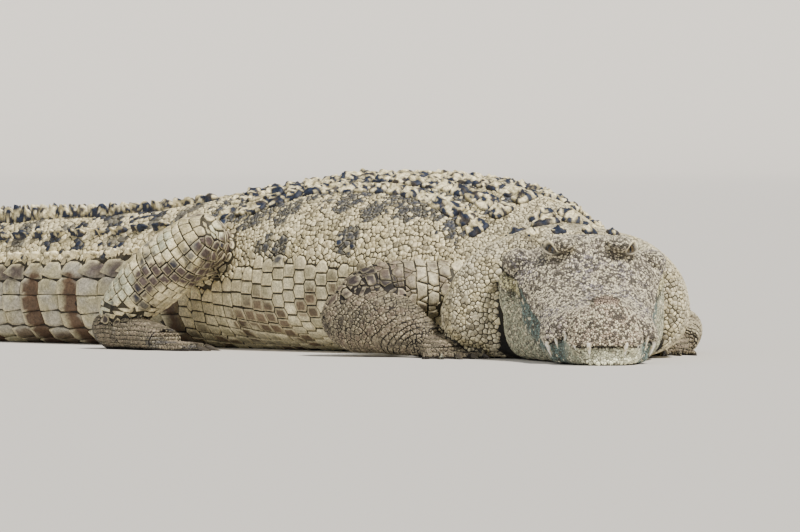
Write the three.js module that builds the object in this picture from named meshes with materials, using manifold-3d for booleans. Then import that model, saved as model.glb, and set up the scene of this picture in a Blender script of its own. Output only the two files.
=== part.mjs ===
// Mugger crocodile (Crocodylus palustris), adult, lying on its belly with the jaws shut.
// Millimetres, +Z up. The origin is on the floor under the middle of the trunk, and +X
// points along the trunk there, towards the head. The spine bends in the floor plane, and
// every length of the body is a loft of sections that stand square to that spine.
//
// A place on the animal is given as (along, side, up): along is the distance behind the
// snout tip measured down the spine, side is the distance to the animal's left, and up is
// the height over the floor.

import * as THREE from 'three';
import { mergeVertices } from 'three/addons/utils/BufferGeometryUtils.js';
import Module from 'manifold-3d';

const wasm = await Module();
wasm.setup();
const { Manifold } = wasm;

// ---------------------------------------------------------------- driving dimensions

const TOTAL_LENGTH = 3800;
const SKULL_LENGTH = 520;
const NECK_END = 780;
const TRUNK_END = 1800;
const TAIL_BASE_END = 2450;
const TAIL_MIDDLE_END = 3100;
const ORIGIN_ALONG = 1265;
const GAP = 0.3;
const STATION_STEP = 56;
const BODY_RING = 20;
const SKULL_RING = 16;
const LIMB_RING = 10;

// Each profile is a list of [distance along, value] pairs, joined smoothly.
const spineHeading = profile([0, -39.3], [520, -39.3], [620, -33], [720, -28], [850, -18], [1050, -9],
  [1265, -2], [1500, 4], [1730, 7], [2000, 6], [2300, 3], [2800, -6], [3300, -16], [3800, -24]);

const bodyHalfWidth = profile([520, 176], [550, 215], [600, 250], [660, 260], [730, 248], [800, 238],
  [880, 244], [1000, 264], [1150, 284], [1300, 290], [1450, 280], [1580, 252], [1700, 214], [1800, 186],
  [1900, 166], [2050, 148], [2300, 126], [2600, 100], [2900, 72], [3200, 48], [3500, 28], [3700, 16],
  [3800, 7]);
const bodyShift = profile([520, 0], [600, -14], [700, -16], [800, 0], [3800, 0]);
const backHeight = profile([520, 236], [560, 258], [600, 270], [650, 277], [700, 286], [765, 304],
  [850, 333], [1000, 354], [1150, 366], [1265, 370], [1440, 370], [1550, 356], [1700, 340], [1810, 330],
  [2000, 308], [2215, 288], [2350, 280], [2530, 266], [2700, 240], [2850, 208], [3100, 152], [3400, 98],
  [3600, 60], [3740, 33], [3800, 20]);
const waistHeight = profile([520, 105], [640, 92], [760, 105], [850, 130], [1265, 150], [1600, 140],
  [1800, 125], [2000, 120], [2300, 112], [2600, 98], [2900, 80], [3200, 62], [3500, 40], [3800, 11]);
const bellyHeight = profile([520, -10], [700, -12], [1000, -14], [1600, -14], [1900, -8], [2600, -6],
  [3800, -3]);
const upperPower = profile([520, 1.9], [560, 2.2], [610, 2.3], [660, 1.8], [720, 1.45], [800, 1.42],
  [880, 1.5], [1000, 1.8], [1265, 2.15], [1600, 2.0], [1800, 1.8], [2000, 1.7], [2400, 1.8], [3800, 2.0]);
const lowerPower = profile([520, 2.6], [1265, 2.6], [1800, 2.4], [3800, 2.2]);

const snoutHalfWidth = profile([0, 20], [10, 46], [30, 68], [55, 76], [80, 71], [97, 66], [112, 72],
  [130, 98], [150, 114], [180, 118], [230, 113], [280, 118], [330, 128], [380, 140], [430, 153],
  [470, 165], [500, 168], [520, 162]);
const mouthHeight = profile([0, 40], [30, 38], [60, 42], [90, 56], [105, 58], [125, 48], [150, 42],
  [180, 48], [215, 74], [250, 86], [290, 92], [340, 118], [390, 150], [430, 168], [470, 180], [520, 186]);
const skullHeight = profile([0, 75], [10, 100], [25, 120], [50, 128], [75, 124], [100, 118], [140, 120],
  [200, 134], [260, 158], [310, 192], [345, 222], [370, 234], [400, 240], [450, 246], [500, 244],
  [520, 238]);
const skullPower = profile([0, 2.4], [60, 2.6], [150, 2.3], [300, 2.15], [360, 2.1], [420, 1.8],
  [480, 1.65], [520, 1.7]);
const jawHalfWidth = profile([18, 22], [30, 44], [50, 58], [75, 72], [97, 79], [120, 82], [150, 96],
  [185, 103], [230, 101], [280, 106], [310, 112], [340, 124], [380, 138], [430, 152], [480, 164],
  [520, 166]);
const tableHalfWidth = profile([316, 52], [350, 62], [420, 76], [490, 86], [518, 84]);
const tableHeight = profile([316, 176], [335, 214], [352, 240], [375, 250], [430, 254], [490, 251],
  [518, 244]);

const EYE_RADIUS = 20;
const EYE_AT = { along: 356, side: 71, up: 225 };
const LID_RADIUS = 25;
const BROW = { along: 366, side: 64, up: 232, halves: [52, 22, 18] };
const LID_OPENING = { halfLength: 18, halfHeight: 9.5 };
const EYE_OUTWARD = 50;
const EYE_UPWARD = 12;

const SCUTE = { length: 50, width: 52, sunk: 12, rim: 3, keelFront: 7, keelRear: 15 };
const SCUTE_ROW_STEP = 55;
const SCUTE_COLUMNS = [30, 88, 143];
const CREST_DOUBLE = { from: 1834, to: 2800, step: 52 };
const CREST_SINGLE = { from: 2838, to: 3770, step: 46 };

// Upper teeth of one side: [distance behind the snout tip, length, radius at the gum].
const UPPER_TEETH = [[33, 15, 4.5], [58, 22, 5.5], [134, 18, 5], [151, 26, 6.5], [178, 22, 6],
  [205, 18, 5.5], [232, 16, 5], [258, 15, 5], [284, 14, 4.5]];
const FRONT_TOOTH = { along: 11, side: 37, length: 20, radius: 5.5 };
const LOWER_FOURTH_TOOTH = { along: 97, side: 74, length: 24, radius: 6 };

// ---------------------------------------------------------------- numbers and places

// A smooth curve through the given pairs that never overshoots them.
function profile(...pairs) {
  const slopes = pairs.slice(1).map((pair, i) => (pair[1] - pairs[i][1]) / (pair[0] - pairs[i][0]));
  const tangents = pairs.map((_, i) => {
    if (i === 0) return slopes[0];
    if (i === slopes.length) return slopes[i - 1];
    const product = slopes[i - 1] * slopes[i];
    return product > 0 ? 2 * product / (slopes[i - 1] + slopes[i]) : 0;
  });
  return (along) => {
    const at = THREE.MathUtils.clamp(along, pairs[0][0], pairs[pairs.length - 1][0]);
    let i = 0;
    while (i < slopes.length - 1 && at > pairs[i + 1][0]) i += 1;
    const span = pairs[i + 1][0] - pairs[i][0];
    const t = (at - pairs[i][0]) / span;
    const rise = t * t * (3 - 2 * t);
    const leave = t * (1 - t) * (1 - t) * span * tangents[i];
    const arrive = t * t * (t - 1) * span * tangents[i + 1];
    return pairs[i][1] * (1 - rise) + pairs[i + 1][1] * rise + leave + arrive;
  };
}

// A seeded source of numbers from 0 to 1, so that each build is the same.
function dice(seed) {
  let state = seed;
  return () => {
    state = (state * 1664525 + 1013904223) % 4294967296;
    return state / 4294967296;
  };
}

const SPINE_STEP = 5;
const spine = traceSpine();

function traceSpine() {
  const points = [];
  let x = 0;
  let y = 0;
  for (let along = 0; along <= TOTAL_LENGTH; along += SPINE_STEP) {
    points.push([x, y]);
    const heading = THREE.MathUtils.degToRad(spineHeading(along + SPINE_STEP / 2));
    x -= Math.cos(heading) * SPINE_STEP;
    y -= Math.sin(heading) * SPINE_STEP;
  }
  const [originX, originY] = points[ORIGIN_ALONG / SPINE_STEP];
  return points.map(([px, py]) => [px - originX, py - originY]);
}

function place(along, side, up) {
  const cell = THREE.MathUtils.clamp(Math.floor(along / SPINE_STEP), 0, spine.length - 2);
  const t = along / SPINE_STEP - cell;
  const heading = THREE.MathUtils.degToRad(spineHeading(along));
  const x = THREE.MathUtils.lerp(spine[cell][0], spine[cell + 1][0], t);
  const y = THREE.MathUtils.lerp(spine[cell][1], spine[cell + 1][1], t);
  return new THREE.Vector3(x - Math.sin(heading) * side, y + Math.cos(heading) * side, up);
}

// Turns a solid built around its own origin, with X forward, so that it stands on the animal.
function standAt(geometry, along, side, up) {
  geometry.rotateZ(THREE.MathUtils.degToRad(spineHeading(along)));
  const at = place(along, side, up);
  return geometry.translate(at.x, at.y, at.z);
}

// ---------------------------------------------------------------- solids

function solidOf(geometry) {
  const bare = new THREE.BufferGeometry();
  bare.setAttribute('position', geometry.getAttribute('position'));
  bare.setIndex(geometry.getIndex());
  const merged = mergeVertices(bare, 1e-4);
  const triangles = new Uint32Array(merged.getIndex().array);
  const mesh = new wasm.Mesh({
    numProp: 3,
    vertProperties: new Float32Array(merged.getAttribute('position').array),
    triVerts: triangles,
  });
  return new Manifold(mesh);
}

// Joins rings of the same count into a closed skin, with a fan over each end.
function loft(rings) {
  const count = rings[0].length;
  const corners = rings.flat();
  const faces = [];
  for (let r = 0; r + 1 < rings.length; r += 1) {
    for (let k = 0; k < count; k += 1) {
      const a = r * count + k;
      const b = r * count + (k + 1) % count;
      faces.push([a, b, a + count], [b, b + count, a + count]);
    }
  }
  [rings[0], rings[rings.length - 1]].forEach((ring, end) => {
    const middle = ring.reduce((sum, p) => sum.add(p), new THREE.Vector3()).divideScalar(count);
    const first = end * (rings.length - 1) * count;
    corners.push(middle);
    for (let k = 0; k < count; k += 1) {
      const a = first + k;
      const b = first + (k + 1) % count;
      faces.push(end === 0 ? [b, a, corners.length - 1] : [a, b, corners.length - 1]);
    }
  });
  return shell(corners, faces);
}

// A solid from corners and triangles, turned right side out.
function shell(corners, faces) {
  const volume = faces.reduce((sum, [a, b, c]) => {
    const cross = new THREE.Vector3().crossVectors(corners[b], corners[c]);
    return sum + corners[a].dot(cross);
  }, 0);
  const outward = volume > 0 ? faces : faces.map(([a, b, c]) => [a, c, b]);
  const geometry = new THREE.BufferGeometry().setFromPoints(corners);
  geometry.setIndex(outward.flat());
  return solidOf(geometry);
}

function ellipsoid(halfX, halfY, halfZ, around = 12, over = 8) {
  return new THREE.SphereGeometry(1, around, over).scale(halfX, halfY, halfZ);
}

function largestPiece(solid) {
  return solid.decompose().reduce((best, next) => (next.volume() > best.volume() ? next : best));
}

// ---------------------------------------------------------------- trunk, neck and tail

function power(value, exponent) {
  return Math.sign(value) * Math.abs(value) ** exponent;
}

function bodyRing(along, grow) {
  const half = bodyHalfWidth(along) + grow;
  const waist = waistHeight(along);
  const rise = backHeight(along) + grow - waist;
  const drop = waist - bellyHeight(along) + grow;
  return Array.from({ length: BODY_RING }, (_, k) => {
    const turn = 2 * Math.PI * k / BODY_RING;
    const above = Math.cos(turn) >= 0;
    const exponent = 2 / (above ? upperPower(along) : lowerPower(along));
    const side = bodyShift(along) + half * power(Math.sin(turn), exponent);
    const up = waist + (above ? rise : drop) * power(Math.cos(turn), exponent);
    return place(along, side, Math.max(0, up));
  });
}

// Evenly spaced stations from one distance to another, half a gap in from each end.
function stations(from, to) {
  const count = Math.round((to - from) / STATION_STEP);
  const span = to - from - GAP;
  return Array.from({ length: count + 1 }, (_, i) => from + GAP / 2 + span * i / count);
}

// A body length with its plates joined on, trimmed flush with the length's own ends.
function platedLength(from, to, plates) {
  const heading = (along) => THREE.MathUtils.degToRad(spineHeading(along));
  const front = new THREE.Vector3(-Math.cos(heading(from)), -Math.sin(heading(from)), 0);
  const rear = new THREE.Vector3(Math.cos(heading(to)), Math.sin(heading(to)), 0);
  const skin = loft(stations(from, to).map((along) => bodyRing(along, 0)));
  const joined = Manifold.union([skin, ...plates]);
  const trimmed = joined
    .trimByPlane(front.toArray(), place(from + GAP / 2, 0, 0).dot(front))
    .trimByPlane(rear.toArray(), place(to - GAP / 2, 0, 0).dot(rear));
  return largestPiece(trimmed);
}

// The point of the back at a given offset from its middle line.
function backPoint(along, side) {
  const share = THREE.MathUtils.clamp(Math.abs(side) / bodyHalfWidth(along), 0, 1);
  const fall = (1 - share ** upperPower(along)) ** (1 / upperPower(along));
  const waist = waistHeight(along);
  return place(along, side + bodyShift(along), waist + (backHeight(along) - waist) * fall);
}

// Forward, left and outward directions of the back at a point.
function backFrame(along, side) {
  const at = backPoint(along, side);
  const forward = backPoint(along - 8, side).sub(at).normalize();
  const left = backPoint(along, side + 4).sub(backPoint(along, side - 4)).normalize();
  const outward = new THREE.Vector3().crossVectors(forward, left).normalize();
  left.crossVectors(outward, forward);
  return { at, forward, left, outward };
}

function onBack(frame, forward, left, outward) {
  return frame.at.clone()
    .addScaledVector(frame.forward, forward)
    .addScaledVector(frame.left, left)
    .addScaledVector(frame.outward, outward);
}

// A plate with its root sunk in the skin, a low rim and a keel that rises to the rear.
function keeledScute(along, side, size) {
  const frame = backFrame(along, side);
  const corners = [];
  [[1, -SCUTE.sunk], [0.94, SCUTE.rim * size]].forEach(([share, outward]) => {
    [[1, 1], [-1, 1], [-1, -1], [1, -1]].forEach(([front, left]) => {
      const forward = front * share * size * SCUTE.length / 2;
      corners.push(onBack(frame, forward, left * share * size * SCUTE.width / 2, outward));
    });
  });
  corners.push(onBack(frame, SCUTE.length * size * 0.36, 0, SCUTE.keelFront * size));
  corners.push(onBack(frame, -SCUTE.length * size * 0.4, 0, SCUTE.keelRear * size));
  const walls = [0, 1, 2, 3].flatMap((k) => {
    const next = (k + 1) % 4;
    return [[k, next, k + 4], [next, next + 4, k + 4]];
  });
  const top = [[4, 5, 9], [4, 9, 8], [5, 6, 9], [6, 7, 8], [6, 8, 9], [7, 4, 8]];
  return shell(corners, [[0, 2, 1], [0, 3, 2], ...walls, ...top]);
}

// An upright blade of the tail crest, leaning back, with its root sunk in the skin.
function crestBlade(along, side, length, height) {
  const frame = backFrame(along, side);
  const thick = 5 + height * 0.12;
  const corners = [
    onBack(frame, length * 0.5, thick, -10),
    onBack(frame, -length * 0.5, thick, -10),
    onBack(frame, -length * 0.5, -thick, -10),
    onBack(frame, length * 0.5, -thick, -10),
    onBack(frame, length * 0.1, 0, height * 0.62),
    onBack(frame, -length * 0.42, 0, height),
  ];
  const root = [[0, 2, 1], [0, 3, 2]];
  const flanks = [[0, 1, 4], [1, 5, 4], [1, 2, 5], [2, 3, 5], [3, 4, 5], [3, 0, 4]];
  return shell(corners, [...root, ...flanks]);
}

function backScutes(growth = 1) {
  const chance = dice(7);
  const plates = [];
  for (let along = 862; along < TRUNK_END - 30; along += SCUTE_ROW_STEP) {
    SCUTE_COLUMNS.forEach((column, index) => {
      const narrow = Math.min(1, bodyHalfWidth(along) / 240);
      [1, -1].forEach((hand) => {
        const size = growth * (0.92 + 0.14 * chance()) * narrow * (index === 2 ? 0.9 : 1);
        plates.push(keeledScute(along + 4 * chance(), hand * column * narrow, size));
      });
    });
  }
  return plates;
}

// Four large plates in a square and one smaller plate on each side of them.
function napeScutes() {
  const plates = [];
  [1, -1].forEach((hand) => {
    plates.push(keeledScute(575, hand * 32, 0.62), keeledScute(583, hand * 84, 0.55));
    plates.push(keeledScute(690, hand * 33, 1.12), keeledScute(748, hand * 31, 1.08));
    plates.push(keeledScute(716, hand * 92, 0.9));
  });
  return plates;
}

function tailCrest(from, to) {
  const blades = [];
  const { from: start, to: end, step } = CREST_DOUBLE;
  for (let along = start; along < end; along += step) {
    if (along - step / 2 < from || along + step / 2 > to) continue;
    const progress = (along - start) / (end - start);
    const side = THREE.MathUtils.lerp(44, 9, progress);
    const height = THREE.MathUtils.lerp(20, 46, progress ** 1.4);
    [1, -1].forEach((hand) => blades.push(crestBlade(along, hand * side, step * 0.94, height)));
  }
  for (let along = CREST_SINGLE.from; along < CREST_SINGLE.to; along += CREST_SINGLE.step) {
    if (along - CREST_SINGLE.step / 2 < from || along + CREST_SINGLE.step / 2 > to) continue;
    const progress = (along - CREST_SINGLE.from) / (CREST_SINGLE.to - CREST_SINGLE.from);
    blades.push(crestBlade(along, 0, CREST_SINGLE.step * 0.95, THREE.MathUtils.lerp(56, 14, progress)));
  }
  return blades;
}

// ---------------------------------------------------------------- skull and jaw

const SKULL_STATIONS = [0, 8, 18, 34, 58, 78, 97, 113, 130, 148, 172, 200, 228, 256, 284, 310, 334, 358, 384,
  412, 440, 468, 494, SKULL_LENGTH];

function skullRing(along) {
  const half = snoutHalfWidth(along);
  const base = mouthHeight(along);
  const rise = skullHeight(along) - base;
  return Array.from({ length: SKULL_RING }, (_, k) => {
    const turn = Math.PI * (k / (SKULL_RING - 1) - 0.5);
    const exponent = 2 / skullPower(along);
    const side = half * power(Math.sin(turn), exponent);
    const up = base + rise * Math.abs(Math.cos(turn)) ** exponent;
    return place(Math.min(along, SKULL_LENGTH - GAP / 2), side, k % (SKULL_RING - 1) === 0 ? base : up);
  });
}

// The flat roof of the skull behind and between the eyes.
function skullTable() {
  const rings = [316, 335, 352, 375, 405, 440, 480, 518].map((along) => {
    const half = tableHalfWidth(along);
    const top = tableHeight(along);
    const root = mouthHeight(along) + 16 - top;
    return [[-1, root], [-1, -9], [-0.86, -1], [-0.4, 2], [0.4, 2], [0.86, -1], [1, -9], [1, root]]
      .map(([side, up]) => place(along, side * half, top + up));
  });
  return loft(rings);
}

function eyeShape(radius, hand) {
  const ball = ellipsoid(radius, radius, radius);
  return standAt(ball, EYE_AT.along, hand * EYE_AT.side, EYE_AT.up);
}

// The almond opening between the lids, cut from the middle of the eye outward.
function lidOpening(hand) {
  const reach = 44;
  const almond = new THREE.CylinderGeometry(1, 1, reach, 12).rotateZ(-Math.PI / 2);
  almond.translate(reach / 2, 0, 0).scale(1, LID_OPENING.halfLength, LID_OPENING.halfHeight);
  almond.rotateY(-THREE.MathUtils.degToRad(EYE_UPWARD));
  almond.rotateZ(hand * THREE.MathUtils.degToRad(EYE_OUTWARD));
  return solidOf(standAt(almond, EYE_AT.along, hand * EYE_AT.side, EYE_AT.up));
}

function tooth(along, side, gum, length, radius, upward) {
  const root = 13;
  const cone = new THREE.ConeGeometry(radius * 1.25, length + root, 6).rotateX(Math.PI / 2);
  cone.translate(0, 0, (length + root) / 2 - root);
  if (!upward) cone.rotateX(Math.PI);
  return solidOf(standAt(cone, along, side, gum));
}

function upperTeeth() {
  const teeth = [];
  [1, -1].forEach((hand) => {
    const { along, side, length, radius } = FRONT_TOOTH;
    teeth.push(tooth(along, hand * side, mouthHeight(along), length, radius, false));
    UPPER_TEETH.forEach(([at, reach, wide]) => {
      const clear = Math.max(snoutHalfWidth(at) - wide - 1, jawHalfWidth(at) + wide + 1.2);
      teeth.push(tooth(at, hand * clear, mouthHeight(at), reach, wide, false));
    });
  });
  return teeth;
}

function skull() {
  const roof = loft(SKULL_STATIONS.map(skullRing));
  const nose = solidOf(standAt(ellipsoid(34, 36, 15), 50, 0, 118));
  const joined = [roof, skullTable(), nose, ...upperTeeth()];
  const cuts = [];
  [1, -1].forEach((hand) => {
    joined.push(solidOf(standAt(ellipsoid(...BROW.halves, 10, 6), BROW.along, hand * BROW.side, BROW.up)));
    joined.push(solidOf(eyeShape(LID_RADIUS, hand)));
    cuts.push(solidOf(eyeShape(EYE_RADIUS + GAP, hand)), lidOpening(hand));
    const nostril = ellipsoid(9, 4, 9, 8, 6).rotateZ(hand * 0.6);
    cuts.push(solidOf(standAt(nostril, 50, hand * 13, 131)));
    const earSlit = new THREE.BoxGeometry(46, 12, 5);
    cuts.push(solidOf(standAt(earSlit, 418, hand * 80, 234)));
  });
  return largestPiece(Manifold.union(joined).subtract(Manifold.union(cuts)));
}

function jawRing(along) {
  const half = jawHalfWidth(along);
  const top = mouthHeight(along) - 2 * GAP;
  const outline = [[0.70, 0], [0.90, 0.10], [0.99, 0.34], [1, 0.7], [0.97, 1]];
  const left = outline.map(([side, up]) => place(along, side * half, up * top));
  const right = outline.map(([side, up]) => place(along, -side * half, up * top)).reverse();
  return [...left, ...right];
}

function lowerJaw() {
  const stations = [18, ...SKULL_STATIONS.filter((along) => along > 18 && along < SKULL_LENGTH)];
  stations.push(SKULL_LENGTH - GAP / 2);
  const { along, side, length, radius } = LOWER_FOURTH_TOOTH;
  const fangs = [1, -1].map((hand) => tooth(along, hand * side, mouthHeight(along) - 2, length, radius, true));
  return largestPiece(Manifold.union([loft(stations.map(jawRing)), ...fangs]));
}

// ---------------------------------------------------------------- limbs

// Sections are [along, side, up, half breadth, half depth]; the floor flattens what is under it.
function limbLength(sections, grow = 0) {
  const points = sections.map(([along, side, up]) => place(along, side, up));
  const rings = sections.map(([, , , breadth, depth], i) => {
    const before = points[Math.max(0, i - 1)];
    const after = points[Math.min(points.length - 1, i + 1)];
    const course = after.clone().sub(before).normalize();
    const across = new THREE.Vector3().crossVectors(course, new THREE.Vector3(0, 0, 1)).normalize();
    const over = new THREE.Vector3().crossVectors(across, course);
    return Array.from({ length: LIMB_RING }, (_, k) => {
      const turn = 2 * Math.PI * k / LIMB_RING;
      const point = points[i].clone()
        .addScaledVector(across, (breadth + grow) * Math.cos(turn))
        .addScaledVector(over, (depth + grow) * Math.sin(turn));
      point.z = Math.max(0, point.z);
      return point;
    });
  });
  return loft(rings);
}

// A digit: two short lengths and a claw, laid on the floor from its knuckle.
function digit(knuckle, bearing, length, thick) {
  const direction = THREE.MathUtils.degToRad(spineHeading(knuckle[0]) + bearing);
  const forward = new THREE.Vector3(Math.cos(direction), Math.sin(direction), 0);
  const across = new THREE.Vector3(-forward.y, forward.x, 0);
  const start = place(knuckle[0], knuckle[1], 0);
  const stages = [[-0.25, 1.0, 1.15], [0.2, 0.95, 1.0], [0.5, 1.05, 0.95], [0.85, 0.9, 0.8], [1, 0.62, 0.6],
    [1.26, 0.12, 0.14]];
  const rings = stages.map(([reach, breadth, height]) => {
    const middle = start.clone().addScaledVector(forward, reach * length);
    return [[1, 0], [0.9, 1.1], [0, 1.7], [-0.9, 1.1], [-1, 0]].map(([side, up]) => {
      const point = middle.clone().addScaledVector(across, side * breadth * thick);
      point.z = up * height * thick;
      return point;
    });
  });
  return loft(rings);
}

const FRONT_DIGITS = [[-44, 0.72], [-22, 0.95], [0, 1.05], [22, 0.95], [48, 0.7]];
const HIND_DIGITS = [[-20, 0.85], [-6, 1.1], [9, 1.12], [26, 0.9]];

const RIGHT_ARM = {
  upper: [[835, -140, 136, 56, 56], [872, -222, 138, 60, 60], [908, -292, 136, 62, 64],
    [940, -352, 124, 62, 64], [964, -394, 94, 54, 56], [976, -414, 76, 28, 30]],
  lower: [[1012, -402, 66, 34, 38], [986, -404, 74, 58, 62], [930, -388, 78, 64, 70],
    [866, -362, 74, 62, 66], [800, -335, 62, 52, 60], [745, -310, 46, 42, 46], [690, -288, 32, 34, 33]],
  paw: [[712, -297, 30, 32, 29], [680, -287, 24, 38, 27], [640, -277, 18, 44, 23],
    [612, -270, 13, 44, 17]],
  knuckles: [618, -271],
  bearing: 8,
};
const LEFT_ARM = {
  upper: [[835, 140, 140, 58, 58], [862, 225, 120, 56, 56], [880, 290, 92, 52, 54],
    [890, 340, 62, 46, 48], [894, 372, 46, 34, 36]],
  lower: [[918, 366, 40, 26, 30], [898, 362, 46, 40, 42], [860, 338, 48, 44, 46],
    [820, 312, 42, 40, 40], [780, 288, 30, 33, 30]],
  paw: [[812, 296, 26, 30, 24], [792, 274, 22, 36, 24], [766, 250, 18, 42, 20], [744, 230, 13, 42, 16]],
  knuckles: [750, 232],
  bearing: -22,
};
const HIND_LEG = {
  upper: [[1790, -100, 190, 76, 72], [1752, -178, 202, 74, 70], [1708, -244, 222, 64, 62],
    [1672, -290, 236, 54, 54], [1656, -318, 240, 32, 36]],
  lower: [[1634, -296, 258, 32, 32], [1658, -303, 240, 56, 54], [1708, -312, 202, 68, 66],
    [1766, -322, 158, 70, 68], [1820, -332, 112, 62, 58], [1862, -338, 74, 46, 44],
    [1880, -340, 46, 20, 20]],
  paw: [[1914, -338, 30, 22, 26], [1892, -340, 40, 34, 40], [1840, -346, 38, 40, 38],
    [1770, -356, 32, 45, 34], [1706, -366, 22, 48, 25]],
  knuckles: [1716, -365],
  bearing: 6,
};

function mirrored(leg) {
  const flip = (sections) => sections.map(([along, side, ...rest]) => [along, -side, ...rest]);
  return {
    upper: flip(leg.upper),
    lower: flip(leg.lower),
    paw: flip(leg.paw),
    knuckles: [leg.knuckles[0], -leg.knuckles[1]],
    bearing: -leg.bearing,
  };
}

// Three nodes of one leg. Each lies against the one above it, and all against the body.
function leg(plan, digits, digitLength, digitThick, body) {
  const upper = limbLength(plan.upper).subtract(body);
  const upperGrown = limbLength(plan.upper, GAP);
  const lower = limbLength(plan.lower).subtract(Manifold.union([body, upperGrown]));
  const lowerGrown = limbLength(plan.lower, GAP);
  const [knuckleAlong, knuckleSide] = plan.knuckles;
  const toes = digits.map(([bearing, share]) => {
    const spread = knuckleSide + bearing * 0.9;
    return digit([knuckleAlong, spread], bearing * 0.55 + plan.bearing, digitLength * share, digitThick);
  });
  const paw = Manifold.union([limbLength(plan.paw), ...toes]);
  const cutPaw = paw.subtract(Manifold.union([body, upperGrown, lowerGrown]));
  return [upper, lower, cutPaw].map(largestPiece);
}

// ---------------------------------------------------------------- the whole animal

const SKIN = new THREE.MeshStandardMaterial({ color: 0x8f8a72, roughness: 0.8, metalness: 0 });
const HEAD_SKIN = new THREE.MeshStandardMaterial({ color: 0x8d8373, roughness: 0.75, metalness: 0 });
const JAW_SKIN = new THREE.MeshStandardMaterial({ color: 0x93a096, roughness: 0.7, metalness: 0 });
const LIMB_SKIN = new THREE.MeshStandardMaterial({ color: 0x6e675c, roughness: 0.8, metalness: 0 });
const TAIL_SKIN = new THREE.MeshStandardMaterial({ color: 0x7f7d68, roughness: 0.8, metalness: 0 });
const EYE = new THREE.MeshStandardMaterial({ color: 0xa08a3c, roughness: 0.15, metalness: 0 });

const crocodile = new THREE.Group();

function addNode(name, solid, material) {
  const { numProp, vertProperties, triVerts } = solid.getMesh();
  const geometry = new THREE.BufferGeometry();
  geometry.setAttribute('position', new THREE.BufferAttribute(vertProperties, numProp));
  geometry.setIndex(new THREE.BufferAttribute(triVerts, 1));
  geometry.computeVertexNormals();
  const mesh = new THREE.Mesh(geometry, material);
  mesh.name = name;
  crocodile.add(mesh);
}

const LENGTHS = {
  neck: [SKULL_LENGTH, NECK_END],
  torso: [NECK_END, TRUNK_END],
  tail_base: [TRUNK_END, TAIL_BASE_END],
  tail_middle: [TAIL_BASE_END, TAIL_MIDDLE_END],
  tail_tip: [TAIL_MIDDLE_END, TOTAL_LENGTH],
};

addNode('head', skull(), HEAD_SKIN);
addNode('lower_jaw', lowerJaw(), JAW_SKIN);
addNode('eye_left', solidOf(eyeShape(EYE_RADIUS, 1)), EYE);
addNode('eye_right', solidOf(eyeShape(EYE_RADIUS, -1)), EYE);
addNode('neck', platedLength(...LENGTHS.neck, napeScutes()), SKIN);
addNode('torso', platedLength(...LENGTHS.torso, backScutes()), SKIN);
['tail_base', 'tail_middle', 'tail_tip'].forEach((name) => {
  addNode(name, platedLength(...LENGTHS[name], tailCrest(...LENGTHS[name])), TAIL_SKIN);
});

// What the legs are cut back from: the body and its plates, one gap larger all round.
const rootedStations = ['neck', 'torso', 'tail_base'].flatMap((name) => stations(...LENGTHS[name]));
const grownSkin = loft(rootedStations.map((along) => bodyRing(along, GAP)));
const bodyCutter = Manifold.union([grownSkin, ...backScutes(1.03)]);

const LEGS = [
  ['front_right', RIGHT_ARM, FRONT_DIGITS, 74, 11, ['upper_arm', 'forearm', 'hand']],
  ['front_left', LEFT_ARM, FRONT_DIGITS, 74, 11, ['upper_arm', 'forearm', 'hand']],
  ['hind_right', HIND_LEG, HIND_DIGITS, 96, 13, ['thigh', 'shank', 'foot']],
  ['hind_left', mirrored(HIND_LEG), HIND_DIGITS, 96, 13, ['thigh', 'shank', 'foot']],
];
LEGS.forEach(([name, plan, digits, length, thick, parts]) => {
  leg(plan, digits, length, thick, bodyCutter).forEach((solid, i) => {
    addNode(`${name}_${parts[i]}`, solid, LIMB_SKIN);
  });
});

export default crocodile;
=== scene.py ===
import itertools
import math

import bpy
import numpy as np
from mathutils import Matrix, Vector
from mathutils.bvhtree import BVHTree
from mathutils.kdtree import KDTree


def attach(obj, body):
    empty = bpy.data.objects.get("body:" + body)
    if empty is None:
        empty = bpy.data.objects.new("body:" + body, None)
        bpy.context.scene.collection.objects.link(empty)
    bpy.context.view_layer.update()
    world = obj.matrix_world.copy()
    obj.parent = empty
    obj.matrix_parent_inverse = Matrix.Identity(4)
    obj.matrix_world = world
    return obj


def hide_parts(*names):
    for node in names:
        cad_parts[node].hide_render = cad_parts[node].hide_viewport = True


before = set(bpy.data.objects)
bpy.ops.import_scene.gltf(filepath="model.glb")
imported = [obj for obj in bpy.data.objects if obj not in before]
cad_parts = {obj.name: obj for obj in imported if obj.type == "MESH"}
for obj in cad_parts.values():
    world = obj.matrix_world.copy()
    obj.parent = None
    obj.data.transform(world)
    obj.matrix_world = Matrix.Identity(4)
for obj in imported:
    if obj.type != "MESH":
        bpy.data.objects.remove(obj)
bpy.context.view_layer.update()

# ------------ the hide
# One unbroken skin of leather over skull, jaw, neck, trunk, tail and legs. It is lofted
# in lengths along the spine and the limbs, fused into a single surface, then worked over
# with lips, nostrils, ear slits and the folds of the neck and legs.


def profile(*pairs):
    """A smooth curve through the pairs that never overshoots them."""
    knots, values = np.array(pairs, float).T
    slopes = np.diff(values) / np.diff(knots)
    product = slopes[:-1] * slopes[1:]
    total = slopes[:-1] + slopes[1:]
    inner = np.where(product > 0, 2 * product / np.where(total == 0, 1, total), 0)
    tangents = np.concatenate([slopes[:1], inner, slopes[-1:]])

    def value(along):
        at = np.clip(along, knots[0], knots[-1])
        i = np.clip(np.searchsorted(knots, at, side="right") - 1, 0, len(knots) - 2)
        span = knots[i + 1] - knots[i]
        t = (at - knots[i]) / span
        rise = t * t * (3 - 2 * t)
        bend = t * (1 - t) ** 2 * tangents[i] + t * t * (t - 1) * tangents[i + 1]
        return values[i] * (1 - rise) + values[i + 1] * rise + span * bend

    return value


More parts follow.
